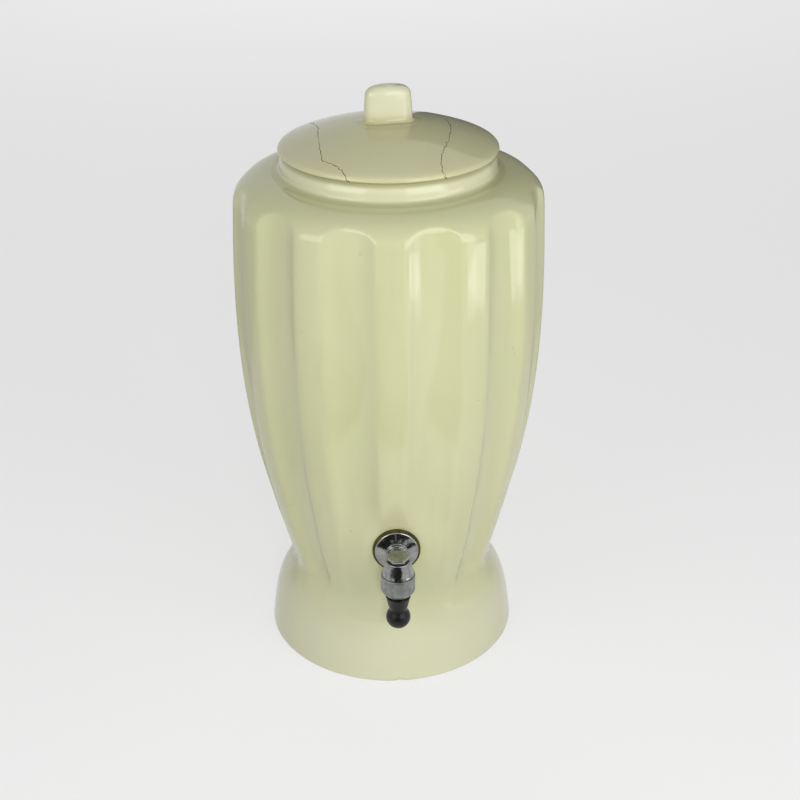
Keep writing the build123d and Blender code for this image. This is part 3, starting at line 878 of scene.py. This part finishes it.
    def bore(self, shape: Shape) -> None:
        """Holes the tap's pad and lines the hole.

        Args:
            shape: The casting.
        """
        around = []
        for face in shape.faces:
            centre = face.calc_center_median()
            distance = math.hypot(centre.x, centre.z - self.tap_height)
            if centre.y < 0 and distance < self.hole_radius + self.hole_margin:
                around.append(face)
        bmesh.ops.delete(shape, geom=around, context="FACES")
        rims = [edge for edge in shape.edges if len(edge.link_faces) == 1]
        circles = []
        for reach in (self.pad_reach, self.inner_reach):
            before = set(shape.edges)
            place = Matrix.Translation((0, -reach, self.tap_height)) @ Matrix.Rotation(QUARTER, 4, "X")
            bmesh.ops.create_circle(
                shape, cap_ends=False, segments=self.hole_steps, radius=self.hole_radius, matrix=place,
            )
            circles.append([edge for edge in shape.edges if edge not in before])
        middle = (self.pad_reach + self.inner_reach) / 2
        outer = [edge for edge in rims if edge.verts[0].co.y < -middle]
        inner = [edge for edge in rims if edge.verts[0].co.y >= -middle]
        for loops in (outer + circles[0], inner + circles[1], circles[0] + circles[1]):
            bmesh.ops.bridge_loops(shape, edges=loops)
        bmesh.ops.recalc_face_normals(shape, faces=shape.faces[:])

    def build(self) -> None:
        """Makes the casting with glaze pools, painted shade at the lid's seam, painted sheen and bare places.
        """
        mesh = merge([self.shape()], "vessel")
        walls = np.zeros(len(mesh.vertices), np.int32)
        mesh.attributes["wall"].data.foreach_get("value", walls)
        mesh.attributes.remove(mesh.attributes["wall"])
        angle, radius, height = polar(spots(mesh))
        outside = (walls == Wall.OUTSIDE) | (walls == Wall.PLAIN)
        waist = swell(height, 65.0, 6.0) * np.clip((92.0 - radius) / 4.0, 0.0, 1.0)
        cove = swell(height, 424.6, 1.8) * (radius < 93.0)
        # Painted shade: the top of the neck is darkened under the lid's rim, where the rim shades the gap
        seam = 1.6 * smooth_step(height, 434.0, 437.5)
        paint(mesh, "pool_and_seam_shade", np.where(outside, np.maximum(np.maximum(waist, cove), seam), 0.0))
        # Painted sheen: the pedestal is painted paler towards the foot, and the neck band paler, for the light
        # and reflections they catch
        painted_sheen = 0.95 * (1.0 - smooth_step(height, 30.0, 90.0)) + 0.7 * smooth_step(height, 424.5, 427.0)
        paint(mesh, "painted_sheen", np.where(outside, painted_sheen, 0.0))
        edge = np.maximum(1.0 - smooth_step(height, 0.0, 0.7), np.minimum(self.chip(angle, height), 1.0))
        paint(mesh, "bare", np.where(walls == Wall.HOLLOW, 0.9, np.where(walls == Wall.SEAT, 0.5, edge)))
        Piece("vessel", Body.TANK, GLAZE, ("pedestal", "tank_wall", "shoulder")).show(mesh)


@dataclass
class Lid:
    """The domed lid with its block knob, and two stained hairline cracks."""

    rim_height: float = 439.4
    crown: float = 462.9
    dome_radius: float = 82.0
    dome_edge: float = 446.2
    dome_power: float = 2.0
    roll_start: float = 74.0
    roll_middle: float = 80.0
    roll_end: tuple = ((84.2, 445.0), (86.4, 443.3), (87.1, 441.7), (86.8, 440.6), (85.8, 440.0))
    seat: tuple = (82.0, 80.0)
    seat_radius: float = 86.0
    skirt_radius: float = 65.0
    skirt_inner: float = 60.0
    skirt_depth: float = 8.0
    wall: float = 7.5
    knob_half: tuple = (18.0, 8.5)
    knob_rise: float = 28.0
    knob_taper: float = 1.9
    knob_edge: float = 6.5
    knob_flare: float = 3.4
    knob_power: float = 2.6
    knob_crown: float = 2.6
    knob_sink: float = 0.6
    knob_spread: float = 52.0
    turn: float = 9.0
    steps: int = 360
    crack_radius: float = 0.28
    crack_sink: float = 0.1
    crack_wander: float = 0.45
    crack_swell: tuple = (0.55, 1.25)
    crack_points: int = 60
    cracks: tuple = (
        ("lid_crack_left", ((-61.0, 36.0), (-58.6, 30.0), (-54.5, 4.3), (-54.2, -26.9), (-51.4, -55.4),
                            (-42.6, -65.1), (-37.4, -73.0), (-35.9, -78.6), (-34.0, -84.8))),
        ("lid_crack_right", ((46.6, 19.0), (47.7, 11.8), (48.9, -2.0), (45.7, -29.0), (40.4, -45.6),
                             (37.1, -59.6), (36.4, -74.0), (39.1, -79.6), (41.8, -82.0))),
    )

    def dome(self, radius: np.ndarray | float) -> np.ndarray:
        """Height of the dome's arc at a radius."""
        drop = self.crown - self.dome_edge
        return self.crown - drop * (np.asarray(radius) / self.dome_radius) ** self.dome_power

    def roll(self) -> Flow:
        """The rim's rounding, from the dome down to the seat."""
        start = [(radius, float(self.dome(radius))) for radius in (self.roll_start, self.roll_middle)]
        return Flow([*start, *self.roll_end])

    def outline(self) -> list[tuple[float, float, float, float]]:
        """Rings of the lid from the knob's top over the rim to the underside.

        Returns:
            Radius, height, share of the knob's block form, and the block's half depth, for each ring.
        """
        wide, deep = self.knob_half
        slim = wide - deep
        top = self.crown + self.knob_rise
        edge, flare = self.knob_edge, self.knob_flare
        foot = self.crown - self.knob_sink
        rings = [(share * (wide - edge), top, 1.0, share * (deep - edge)) for share in np.linspace(0.0, 1.0, 7)]
        sides = [
            (wide - edge + edge * math.sin(turned), top - edge + edge * math.cos(turned))
            for turned in np.linspace(0.0, QUARTER, 11)[1:]
        ]
        for height in np.linspace(top - edge, foot + flare, 9)[1:]:
            sides.append((wide + self.knob_taper * (top - edge - height) / self.knob_rise, height))
        start = sides[-1][0]
        for turned in np.linspace(0.0, QUARTER, 9)[1:]:
            sides.append((start + flare * (1 - math.cos(turned)), foot + flare * (1 - math.sin(turned))))
        rings += [(reach, height, 1.0, reach - slim) for reach, height in sides]
        reach = sides[-1][0]
        for radius in np.linspace(reach, self.roll_start, 26)[1:]:
            block = 1.0 - float(smooth_step(np.array(radius), reach, self.knob_spread))
            rings.append((radius, float(self.dome(radius)), block, radius - slim))
        rim, low = self.rim_height, self.rim_height - self.skirt_depth
        outer, inner = self.skirt_radius, self.skirt_inner
        under = [*self.roll().run(26)[1:], (self.seat[0], self.roll_end[-1][1]), (self.seat[1], rim),
                 (outer + 1.0, rim), (outer, rim - 1.0), (outer, low + 1.2), (outer - 1.2, low),
                 (inner + 1.2, low), (inner, low + 1.2), (inner, rim + 1.6), (inner - 1.2, rim + 3.1)]
        roof = self.crown - self.wall
        for radius in np.linspace(inner - 4.0, 0.0, 12):
            under.append((radius, roof - (roof - rim - 3.2) * (radius / (inner - 1.2)) ** 2))
        return rings + [(radius, height, 0.0, 0.0) for radius, height in under]

    def build(self) -> None:
        """Makes the lid and its cracks."""
        shape = bmesh.new()
        layers = [shape.verts.layers.float.new(name) for name in ("block", "deep")]
        rings = self.outline()
        for vertex, ring in zip(profile(shape, rings), rings):
            for layer, value in zip(layers, ring[2:]):
                vertex[layer] = value
        spin(shape, self.steps)
        for vertex in shape.verts:
            self.press(vertex, *(vertex[layer] for layer in layers))
        mesh = merge([shape], "lid", Matrix.Rotation(math.radians(self.turn), 4, "Z"))
        for name in ("block", "deep"):
            mesh.attributes.remove(mesh.attributes[name])
        _, radius, height = polar(spots(mesh))
        seat = (height < self.rim_height + 0.3) & (radius < self.seat_radius)
        paint(mesh, "bare", np.where(seat, 0.6, 0.0))
        paint(mesh, "pool_and_seam_shade", swell(height - self.crown, 1.0, 2.5) * (radius < 26.0) * 0.7)
        # Painted highlight: the knob is painted paler upwards, in place of its glossy reflections
        paint(mesh, "painted_sheen", smooth_step(height, self.crown + 1.0, self.crown + 9.0))
        Piece("lid", Body.COVER, LID_GLAZE).show(mesh)
        for name, points in self.cracks:
            self.crack(name, points)

    def press(self, vertex: bmesh.types.BMVert, block: float, deep: float) -> None:
        """Moves a point of the turned lid to the knob's block form.

        Args:
            vertex: The point.
            block: Its share of the block form.
            deep: The block's half depth at its ring.
        """
        radius = math.hypot(vertex.co.x, vertex.co.y)
        if block <= 0.0 or radius < 1e-6:
            return
        power = self.knob_power
        cosine, sine = vertex.co.x / radius, vertex.co.y / radius
        side = (abs(cosine / radius) ** power + abs(sine / deep) ** power) ** (-1 / power)
        moved = radius + (side - radius) * block
        if vertex.co.z < self.crown - self.knob_sink:
            vertex.co.z += float(self.dome(moved) - self.dome(radius))
        else:
            rise = (vertex.co.z - self.crown) / self.knob_rise
            vertex.co.z -= self.knob_crown * max(rise, 0.0) ** 2 * (moved * cosine / self.knob_half[0]) ** 2
        vertex.co.x, vertex.co.y = moved * cosine, moved * sine

    def crack(self, name: str, points: Sequence[tuple[float, float]]) -> None:
        """Makes one hairline crack as a thin stained thread let into the glaze.

        Args:
            name: The piece's name.
            points: Places on the lid, seen from above, with the rim's rounding laid flat.
        """
        draw = np.random.default_rng(len(name))
        steps = np.linspace(0, len(points) - 1, self.crack_points)
        track = np.stack([np.interp(steps, range(len(points)), axis) for axis in np.array(points).T], axis=1)
        track += draw.normal(0.0, self.crack_wander, track.shape)
        line = bpy.data.curves.new(name, "CURVE")
        line.dimensions = "3D"
        line.bevel_depth = self.crack_radius * MM
        line.bevel_resolution = 1
        line.use_fill_caps = True
        spline = line.splines.new("POLY")
        spline.points.add(len(track) - 1)
        widths = draw.uniform(*self.crack_swell, len(track))
        for point, (across, back), width in zip(spline.points, track, widths):
            along = math.hypot(across, back)
            radius, height = along, float(self.dome(along))
            if along > self.roll_start:
                radius, height = self.roll().at(np.array([along - self.roll_start]))[0]
            share = radius / along * MM
            point.co = (across * share, back * share, (height - self.crack_sink) * MM, 1.0)
            point.radius = width
        holder = bpy.data.objects.new(name + "_line", line)
        mesh = bpy.data.meshes.new_from_object(holder)
        bpy.data.objects.remove(holder)
        bpy.data.curves.remove(line)
        mesh.name = name
        mesh.materials.clear()
        Piece(name, Body.COVER, CRACK, ()).show(mesh)


@dataclass
class Bowl:
    """The hung bowl with its filter candle."""

    rim: float = 439.4
    ledge: float = 432.0
    base: float = 240.4
    floor: float = 248.4
    stem: float = 5.5
    stem_bore: float = 2.0
    stem_end: float = 206.4
    slack: float = 0.2
    gasket: float = 2.5
    candle: float = 24.3
    candle_inner: float = 18.3
    candle_top: float = 108.0
    cup: float = 27.0
    cup_inner: float = 24.5
    cup_rise: float = 13.0
    cup_floor: float = 4.0
    grips: int = 36
    grip_depth: float = 0.25

    def build(self) -> None:
        """Makes the bowl, the candle and their fastenings."""
        hole, seat = self.stem + self.slack, self.floor + self.gasket
        self.build_bowl(hole)
        gaskets = (("candle_gasket", 15.0, self.floor), ("lower_gasket", 12.0, self.base - self.gasket))
        for name, radius, low in gaskets:
            ring = band(hole, radius, low, low + self.gasket, (0.3, 0.8))
            Piece(name, Body.BOWL, BLACK_RUBBER).build(turn(ring, True))
        self.build_candle(seat)
        dress_node("carbon_core", CARBON)
        dress_node("wing_nut", WHITE_PLASTIC)

    def build_bowl(self, hole: float) -> None:
        """Makes the bowl, with bare clay where it rests.

        Args:
            hole: Radius of the hole for the candle's stem.
        """
        outline = [(hole, self.base, 0.6), (68.0, self.base, 14.0), (72.8, 426.0), (72.95, 430.0),
                   (73.0, self.ledge, 0.8), (80.0, self.ledge, 1.0), (80.0, 434.4), (80.0, self.rim, 1.6),
                   (66.5, self.rim, 2.2), (61.5, self.floor, 7.5), (hole, self.floor, 0.6)]
        mesh = Piece("inner_bowl", Body.BOWL, BOWL_GLAZE).build(turn(outline, True, 192, 8)).data
        _, radius, height = polar(spots(mesh))
        paint(mesh, "bare", np.where((np.abs(height - self.ledge) < 1.2) & (radius > 72.0), 0.8, 0.0))
        paint(mesh, "pool_and_seam_shade", np.zeros(len(height)))

    def build_candle(self, seat: float) -> None:
        """Makes the candle's base, with its gripped cup and threaded stem, and its shell.

        Args:
            seat: Height that the base stands on.
        """
        bore, stem, floor, top = self.stem_bore, self.stem, seat + self.cup_floor, seat + self.cup_rise
        cup = [(bore, self.stem_end, 0.3), (stem, self.stem_end, 0.5)]
        cup += thread(stem, self.stem_end + 1.0, 238.0, 1.75, 0.6)
        cup += [(stem, seat), (self.cup, seat, 1.2), (self.cup, top, 1.0), (self.cup_inner, top, 0.5),
                (self.cup_inner, floor), (bore, floor)]
        base = turn(cup, True, 144)
        for vertex in base.verts:
            radius = math.hypot(vertex.co.x, vertex.co.y)
            if radius > self.cup - 1.5 and seat + 1.5 < vertex.co.z < top - 0.5:
                wave = math.cos(self.grips * math.atan2(vertex.co.y, vertex.co.x))
                scale = (radius - self.grip_depth * (1 - wave)) / radius
                vertex.co.x *= scale
                vertex.co.y *= scale
        Piece("candle_base", Body.BOWL, WHITE_PLASTIC).build(base)
        line = seat + self.candle_top - self.candle
        shell = [(self.candle_inner, floor), (self.candle, floor), (self.candle, line - 20.0)]
        rise, fall = np.linspace(0.0, QUARTER, 24), np.linspace(QUARTER, 0.0, 16)
        for radius, turns in ((self.candle, rise), (self.candle_inner, fall)):
            shell += [(radius * math.cos(turned), line + radius * math.sin(turned)) for turned in turns]
        Piece("candle_shell", Body.BOWL, CANDLE).build(turn(shell, True, 128))


@dataclass
class FloatValve:
    """The float valve under the candle."""

    pivot: tuple = (-13.0, 0.0, 190.4)
    arm: float = 46.2
    radius: float = 19.0
    bore: float = 2.2
    bore_depth: float = 10.5
    seam: float = 0.35
    droop: float = 20.0

    def build(self) -> None:
        """Dresses the valve and makes the float with its moulding seam."""
        for node in ("float_valve", "float_arm"):
            dress_node(node, WHITE_PLASTIC)
        dress_node("float_pin", BRASS)
        dress_node("float_seal", BLACK_RUBBER)
        middle, plain = self.arm + self.radius, self.radius - self.seam
        ball = [(self.bore, self.arm + 0.2), (self.bore + 0.4, self.arm + 0.2)]
        for degrees in np.linspace(-80.0, 80.0, 41):
            reach = plain + (self.seam if abs(degrees) < 1.0 else 0.0)
            turned = math.radians(degrees)
            ball.append((reach * math.cos(turned), middle + reach * math.sin(turned)))
        end = self.arm + self.bore_depth
        ball += [(0.0, middle + self.radius - self.seam), (0.0, end), (self.bore, end)]
        place = Matrix.Translation(self.pivot) @ Matrix.Rotation(math.radians(90.0 + self.droop), 4, "Y")
        Piece("float_ball", Body.FLOAT, FLOAT_PLASTIC).build(turn(ball, True, 96), place=place)


@dataclass
class Tap:
    """The self-closing tap: seat in the wall, chromed body, collar, cap, valve and black handle.

    Outlines of the level shapes give reach from the tank's axis, those of the upright ones
    height over the barrel's axis.
    """

    height: float = 135.5
    wall_outside: float = 107.5
    wall_inside: float = 94.5
    axis: float = 134.9
    shank: float = 8.0
    shank_end: float = 81.8
    slack: float = 0.2
    inner_gasket: float = 2.5
    washer: float = 1.2
    flange_back: float = 110.5
    flange: float = 17.8
    barrel: float = 7.2
    barrel_flare: float = 1.5
    barrel_end: float = 122.6
    hub: float = 8.8
    bore: float = 4.0
    bell: tuple = ((12.95, -4.9), (12.7, -4.3), (12.36, -3.2), (11.7, -0.4), (11.1, 2.4), (10.55, 5.0),
                   (10.1, 7.0))
    cap_flats: float = 16.2
    cap_edge: float = 0.9
    spring: float = 3.6
    spring_wire: float = 0.4
    spring_turns: float = 4.0
    spring_steps: int = 128
    valve_lift: float = 0.7
    handle_top: float = -26.0
    handle_ball: float = -47.2
    handle_recess: float = 7.3
    handle_bore: float = 3.2
    steps: int = 128

    def level(self) -> Matrix:
        """Place of shapes turned about the barrel's axis, with +Z to the front."""
        return Matrix.Translation((0, 0, self.height)) @ Matrix.Rotation(QUARTER, 4, "X")

    def upright(self) -> Matrix:
        """Place of shapes turned about the tap's upright axis."""
        return Matrix.Translation((0, -self.axis, self.height))

    def build(self) -> None:
        """Makes the tap from the wall outwards."""
        self.build_seat()
        self.build_body()
        self.build_trim()
        self.build_handle()

    def build_seat(self) -> None:
        """Makes the gaskets, the washer and the nut on the shank."""
        hole, back = self.shank + self.slack, self.wall_outside
        ring = [(hole, back, 0.3), (19.5, back, 0.7), (19.7, back + 1.5, 0.9), (19.4, back + 3.0, 0.7),
                (hole, back + 3.0, 0.3)]
        Piece("outer_gasket", Body.TANK, OLIVE_RUBBER).build(turn(ring, True, self.steps), place=self.level())
        inner = self.wall_inside
        ring = band(hole, 16.0, inner, inner - self.inner_gasket, (0.3, 0.8))
        Piece("inner_gasket", Body.TANK, BLACK_RUBBER).build(turn(ring, True), place=self.level())
        inner -= self.inner_gasket
        ring = band(hole, 14.0, inner, inner - self.washer, (0.2, 0.3))
        Piece("tap_washer", Body.TANK, CHROME).build(turn(ring, True), place=self.level())
        dress_node("lock_nut", BRASS)

    def build_body(self) -> None:
        """Makes the chromed body: threaded shank, domed flange, hub, barrel and bell."""
        side, flange, back, end = Flow(self.bell), self.flange, self.flange_back, self.shank_end
        spout = [(self.bore, end, 0.4), (self.shank - 0.3, end, 0.5)]
        spout += thread(self.shank, end + 1.0, 107.0, 1.8, 0.7)
        spout += [(self.shank, back), (flange - 0.1, back, 0.4), (flange, back + 0.5), (flange - 0.35, 111.4),
                  (flange - 1.1, 111.75), (13.4, 112.8), (9.6, 113.9), (self.hub, 114.2, 0.3),
                  (self.hub, 117.4, 0.6), (self.barrel, 117.8, 0.3), (self.barrel, 120.0), (self.barrel, 122.0)]
        for turned in np.linspace(0.0, QUARTER, 7):
            reach = self.barrel + self.barrel_flare * (1 - math.cos(turned))
            spout.append((reach, self.barrel_end + 2.0 * math.sin(turned)))
        barrel = turn(spout + [(self.bore, 125.5)], True, self.steps)
        for vertex in barrel.verts:
            if vertex.co.z > self.barrel_end - 0.3:
                radius = float(side.radius_at(vertex.co.y))
                surface = self.axis - math.sqrt(max(radius**2 - vertex.co.x**2, 1.0))
                vertex.co.z = surface + (vertex.co.z - 124.7)
        cup = [(6.2, 7.6, 0.3), (10.0, 7.6, 0.6)] + side.run(18)[::-1]
        cup += [(12.9, -5.2), (12.4, -5.3), (12.4, -5.5), (10.8, -5.5)] + thread(10.8, -5.9, -18.6, 1.5, 0.5)
        cup += [(10.8, -19.0, 0.3), (8.5, -19.0, 0.3), (8.5, -9.0), (3.8, -9.0, 0.3), (3.8, -6.0, 0.3),
                (6.2, -6.0)]
        bell = turn(cup, True, self.steps)
        for shape, place in ((bell, self.upright()), (barrel, self.level())):
            bmesh.ops.transform(shape, matrix=place, verts=shape.verts[:])
        Piece("tap_body", Body.TANK, CHROME).build(barrel, bell)

    def build_trim(self) -> None:
        """Makes the cap with its washer, the collar and the valve."""
        place = self.upright()
        ring = band(6.2, 8.3, 7.6, 8.4, (0.0, 0.2))
        Piece("cap_washer", Body.TANK, BLACK_RUBBER).build(turn(ring, True), place=place)
        plug = turn([(0.0, 8.6), (6.0, 8.6), (6.0, 3.5, 0.4), (0.0, 3.5)])
        cap = hexagon(self.cap_flats, 8.4, 11.8, self.cap_edge, 4)
        bmesh.ops.rotate(cap, verts=cap.verts[:], cent=(0, 0, 0), matrix=Matrix.Rotation(math.pi / 6, 3, "Z"))
        Piece("tap_cap", Body.TANK, CHROME).build(cap, plug, place=place)
        collar = [(8.3, -21.8), (8.3, -20.4), (11.0, -20.4), (11.0, -5.6, 0.3), (13.7, -5.6, 0.6), (13.8, -7.2),
                  (13.8, -19.4, 0.6), (13.4, -20.2), (10.9, -23.5, 0.5), (8.0, -23.7, 0.3), (8.15, -22.8)]
        Piece("tap_collar", Body.TANK, BRUSHED).build(turn(collar, True, self.steps), place=place)
        dress_node("valve_stem", BRASS)
        dress_node("valve_washer", BLACK_RUBBER)
        self.build_spring()
        dress_node("pivot_ball", BRASS)

    def build_spring(self) -> None:
        """Makes the valve's coil spring, which shortens towards the cap's plug as the valve lifts."""
        low, high = (corner.z / MM - self.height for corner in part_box("valve_spring"))
        wire_radius, steps = self.spring_wire, self.spring_steps
        rise = high - low - 2 * wire_radius
        shape = bmesh.new()
        place = Matrix.Translation((self.spring, 0, low + wire_radius)) @ Matrix.Rotation(QUARTER, 4, "X")
        bmesh.ops.create_circle(shape, cap_ends=False, segments=10, radius=wire_radius, matrix=place)
        bmesh.ops.spin(
            shape, geom=shape.verts[:] + shape.edges[:], cent=(0, 0, 0), axis=(0, 0, 1),
            dvec=(0, 0, rise / steps), angle=math.tau * self.spring_turns, steps=steps,
        )
        bmesh.ops.holes_fill(shape, edges=[edge for edge in shape.edges if edge.is_boundary], sides=0)
        bmesh.ops.recalc_face_normals(shape, faces=shape.faces[:])
        piece = Piece("valve_spring", Body.TANK, STEEL).build(shape, place=self.upright())
        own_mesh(piece)

    def build_handle(self) -> None:
        """Makes the black handle: cone, waist and ball."""
        top, ball, recess, bore = self.handle_top, self.handle_ball, self.handle_recess, self.handle_bore
        side = Flow([(10.1, top - 0.9), (9.0, top - 5.5), (7.8, top - 10.5), (7.2, top - 13.6),
                     (7.6, ball + 6.6), (9.2, ball + 3.7), (10.0, ball), (9.2, ball - 4.0),
                     (6.6, ball - 7.5), (3.2, ball - 9.5), (0.0, ball - 10.0)])
        outline = [(0.0, top - 15.0), (bore, top - 15.0), (bore, top - 1.4), (recess, top - 1.4),
                   (recess, top, 0.3), (10.0, top, 0.7)]
        shape = turn(outline + side.run(60), False, self.steps)
        Piece("tap_handle", Body.HANDLE, BLACK).build(shape, place=self.upright())


def around(azimuth: float, distance: float, height: float) -> tuple[float, float, float]:
    """A place round the object, by degrees from the front."""
    turned = math.radians(azimuth)
    return distance * math.sin(turned), -distance * math.cos(turned), height


@dataclass(frozen=True)
class Softbox:
    """A large soft lamp that stands round the object and faces its axis.

    Its lean turns it down, and a lamp that isn't mirrored only brightens surfaces.
    """

    name: str
    azimuth: float
    distance: float
    width: float
    low: float
    high: float
    radiance: float
    lean: float = 0.0
    mirrored: bool = True

    def build(self) -> None:
        """Makes the lamp."""
        lamp = bpy.data.lights.new(self.name, "AREA")
        lamp.shape = "RECTANGLE"
        lamp.size, lamp.size_y = self.width, self.high - self.low
        lamp.energy = self.radiance * lamp.size * lamp.size_y * math.pi
        thing = link(self.name, lamp)
        thing.location = around(self.azimuth, self.distance, (self.low + self.high) / 2)
        thing.rotation_euler = (math.radians(90.0 - self.lean), 0.0, math.radians(self.azimuth))
        thing.visible_glossy = self.mirrored


@dataclass(frozen=True)
class Flag:
    """A flat sheet of the set: the floor, or a card that only reflections see, as studios shape gloss."""

    name: str
    middle: tuple[float, float, float]
    size: tuple[float, float]
    upright: bool = False
    tone: float = 1.0

    def lay(self, sheet: NodeSheet) -> Thing:
        """Makes the sheet's object.

        Args:
            sheet: Its material.

        Returns:
            The object.
        """
        shape = bmesh.new()
        bmesh.ops.create_grid(shape, x_segments=1, y_segments=1, size=0.5)
        bmesh.ops.scale(shape, vec=(*self.size, 1.0), verts=shape.verts[:])
        if self.upright:
            raised = Matrix.Rotation(QUARTER, 3, "X")
            bmesh.ops.rotate(shape, verts=shape.verts[:], cent=(0, 0, 0), matrix=raised)
        bmesh.ops.translate(shape, vec=self.middle, verts=shape.verts[:])
        mesh = as_mesh(shape, self.name)
        mesh.materials.append(sheet.material)
        thing = link(self.name, mesh)
        return thing

    def build(self) -> None:
        """Makes a card, which shows its tone whatever the lamps do."""
        sheet = NodeSheet(self.name)
        sheet.show(sheet.add("ShaderNodeEmission", {"Color": (self.tone,) * 3}))
        card = self.lay(sheet)
        card.visible_camera = card.visible_diffuse = card.visible_shadow = card.visible_transmission = False


@dataclass
class Studio:
    """Pale floor, soft lamps, cards and the camera."""

    azimuth: float = -2.25
    pan: float = 0.45
    roll: float = 0.23
    pitch: float = 27.57
    distance: float = 1.073
    height: float = 0.777
    lens: float = 63.45
    sensor: float = 36.0
    floor_size: float = 80.0
    floor_tone: float = 0.85
    floor_roughness: float = 0.9
    floor_gloss: float = 0.1
    floor_glow: float = 0.62
    surround: float = 0.74
    fill: float = 0.24
    lamps: tuple = (
        Softbox("right_box", 36.0, 0.95, 0.72, 0.36, 1.04, 2.5),
        Softbox("right_strip", 52.0, 0.85, 0.17, 0.045, 0.40, 1.4),
        Softbox("left_box", -45.0, 0.95, 0.72, 0.44, 0.95, 2.3),
        Softbox("front_lamp", 3.0, 1.55, 0.3, 0.76, 1.06, 23.0, 22.0, False),
        Softbox("back_lamp", 180.0, 3.2, 2.6, 0.6, 1.8, 1.7, 17.0, False),
    )
    cards: tuple = (
        Flag("front_mat_left", (-0.27, -1.0, 0.003), (0.54, 1.2), False, 0.03),
        Flag("front_mat_right", (0.16, -1.0, 0.003), (0.32, 1.2), False, 0.03),
        Flag("front_card_left", (-0.42, -1.6, 0.4), (0.8, 0.8), True, 0.03),
        Flag("front_card_right", (0.42, -1.6, 0.4), (0.8, 0.8), True, 0.03),
        # A sheet that glows at three times white but is no lamp; only reflections see it, as bright streaks on
        # the right flutes
        Flag("right_glow_card", (1.27, -0.56, 0.003), (0.74, 0.44), False, 3.0),
        Flag("back_mat", (0.0, 0.95, 0.003), (2.6, 1.3), False, 0.5),
        Flag("back_card_left", (-0.55, 0.95, 0.62), (1.3, 1.24), True, 0.8),
        Flag("back_card_right", (0.75, 0.95, 0.62), (1.3, 1.24), True, 0.1),
    )

    def build(self) -> None:
        """Makes floor, light, cards and camera."""
        self.build_floor()
        self.build_world()
        for item in self.lamps + self.cards:
            item.build()
        self.build_camera()

    def build_floor(self) -> None:
        """Makes the plain pale floor, which glows a little where it is seen."""
        sheet = NodeSheet("pale_floor")
        inputs = sheet.shader.inputs
        sheet.feed(inputs["Base Color"], (self.floor_tone,) * 3)
        inputs["Roughness"].default_value = self.floor_roughness
        inputs["Specular IOR Level"].default_value = self.floor_gloss
        glow = sheet.add("ShaderNodeEmission", {"Color": (1.0, 1.0, 1.0)})
        share = sheet.calc("MULTIPLY", self.seen(sheet.tree), self.floor_glow)
        sheet.show(sheet.add("ShaderNodeMixShader", {0: share, 1: sheet.shader.outputs[0], 2: glow.outputs[0]}))
        Flag("floor", (0.0, 0.0, 0.0), (self.floor_size, self.floor_size)).lay(sheet)

    def build_world(self) -> None:
        """Makes a pale surround that camera and reflections see, with a weaker fill for the surfaces."""
        world = bpy.data.worlds.new("surround")
        bpy.context.scene.world = world
        world.use_nodes = True
        tree = world.node_tree
        back = tree.nodes["Background"]
        strength = tree.nodes.new("ShaderNodeMapRange")
        strength.inputs["To Min"].default_value = self.fill
        strength.inputs["To Max"].default_value = self.surround
        tree.links.new(self.seen(tree), strength.inputs["Value"])
        tree.links.new(strength.outputs[0], back.inputs["Strength"])
        back.inputs["Color"].default_value = (1.0, 1.0, 1.0, 1.0)

    def seen(self, tree: bpy.types.NodeTree) -> Socket:
        """Light path of what the camera sees, straight, mirrored or through glass.

        Args:
            tree: The nodes that it goes into.

        Returns:
            1 for such a ray.
        """
        path = tree.nodes.new("ShaderNodeLightPath")
        result = path.outputs["Is Camera Ray"]
        for name in ("Is Glossy Ray", "Is Transmission Ray"):
            larger = tree.nodes.new("ShaderNodeMath")
            larger.operation = "MAXIMUM"
            tree.links.new(result, larger.inputs[0])
            tree.links.new(path.outputs[name], larger.inputs[1])
            result = larger.outputs[0]
        return result

    def build_camera(self) -> None:
        """Makes the camera at the photograph's angle."""
        lens = bpy.data.cameras.new("camera")
        lens.lens = self.lens
        lens.sensor_width = self.sensor
        camera = link("camera", lens)
        camera.location = around(self.azimuth, self.distance, self.height)
        heading = Matrix.Rotation(math.radians(self.azimuth) - math.radians(self.pan), 3, "Z")
        tilt = Matrix.Rotation(math.radians(90.0 - self.pitch), 3, "X")
        camera.rotation_euler = (heading @ tilt @ Matrix.Rotation(-math.radians(self.roll), 3, "Z")).to_euler()
        bpy.context.scene.camera = camera


def main() -> None:
    """Builds the filter and its studio."""
    logging.basicConfig(level=logging.INFO, format="%(relativeCreated)6d ms  %(message)s")
    for assembly in (Casting(), Lid(), Bowl(), FloatValve(), Tap(), Studio()):
        assembly.build()
    bpy.context.scene.view_settings.view_transform = "Standard"


if __name__ == "__main__":
    main()
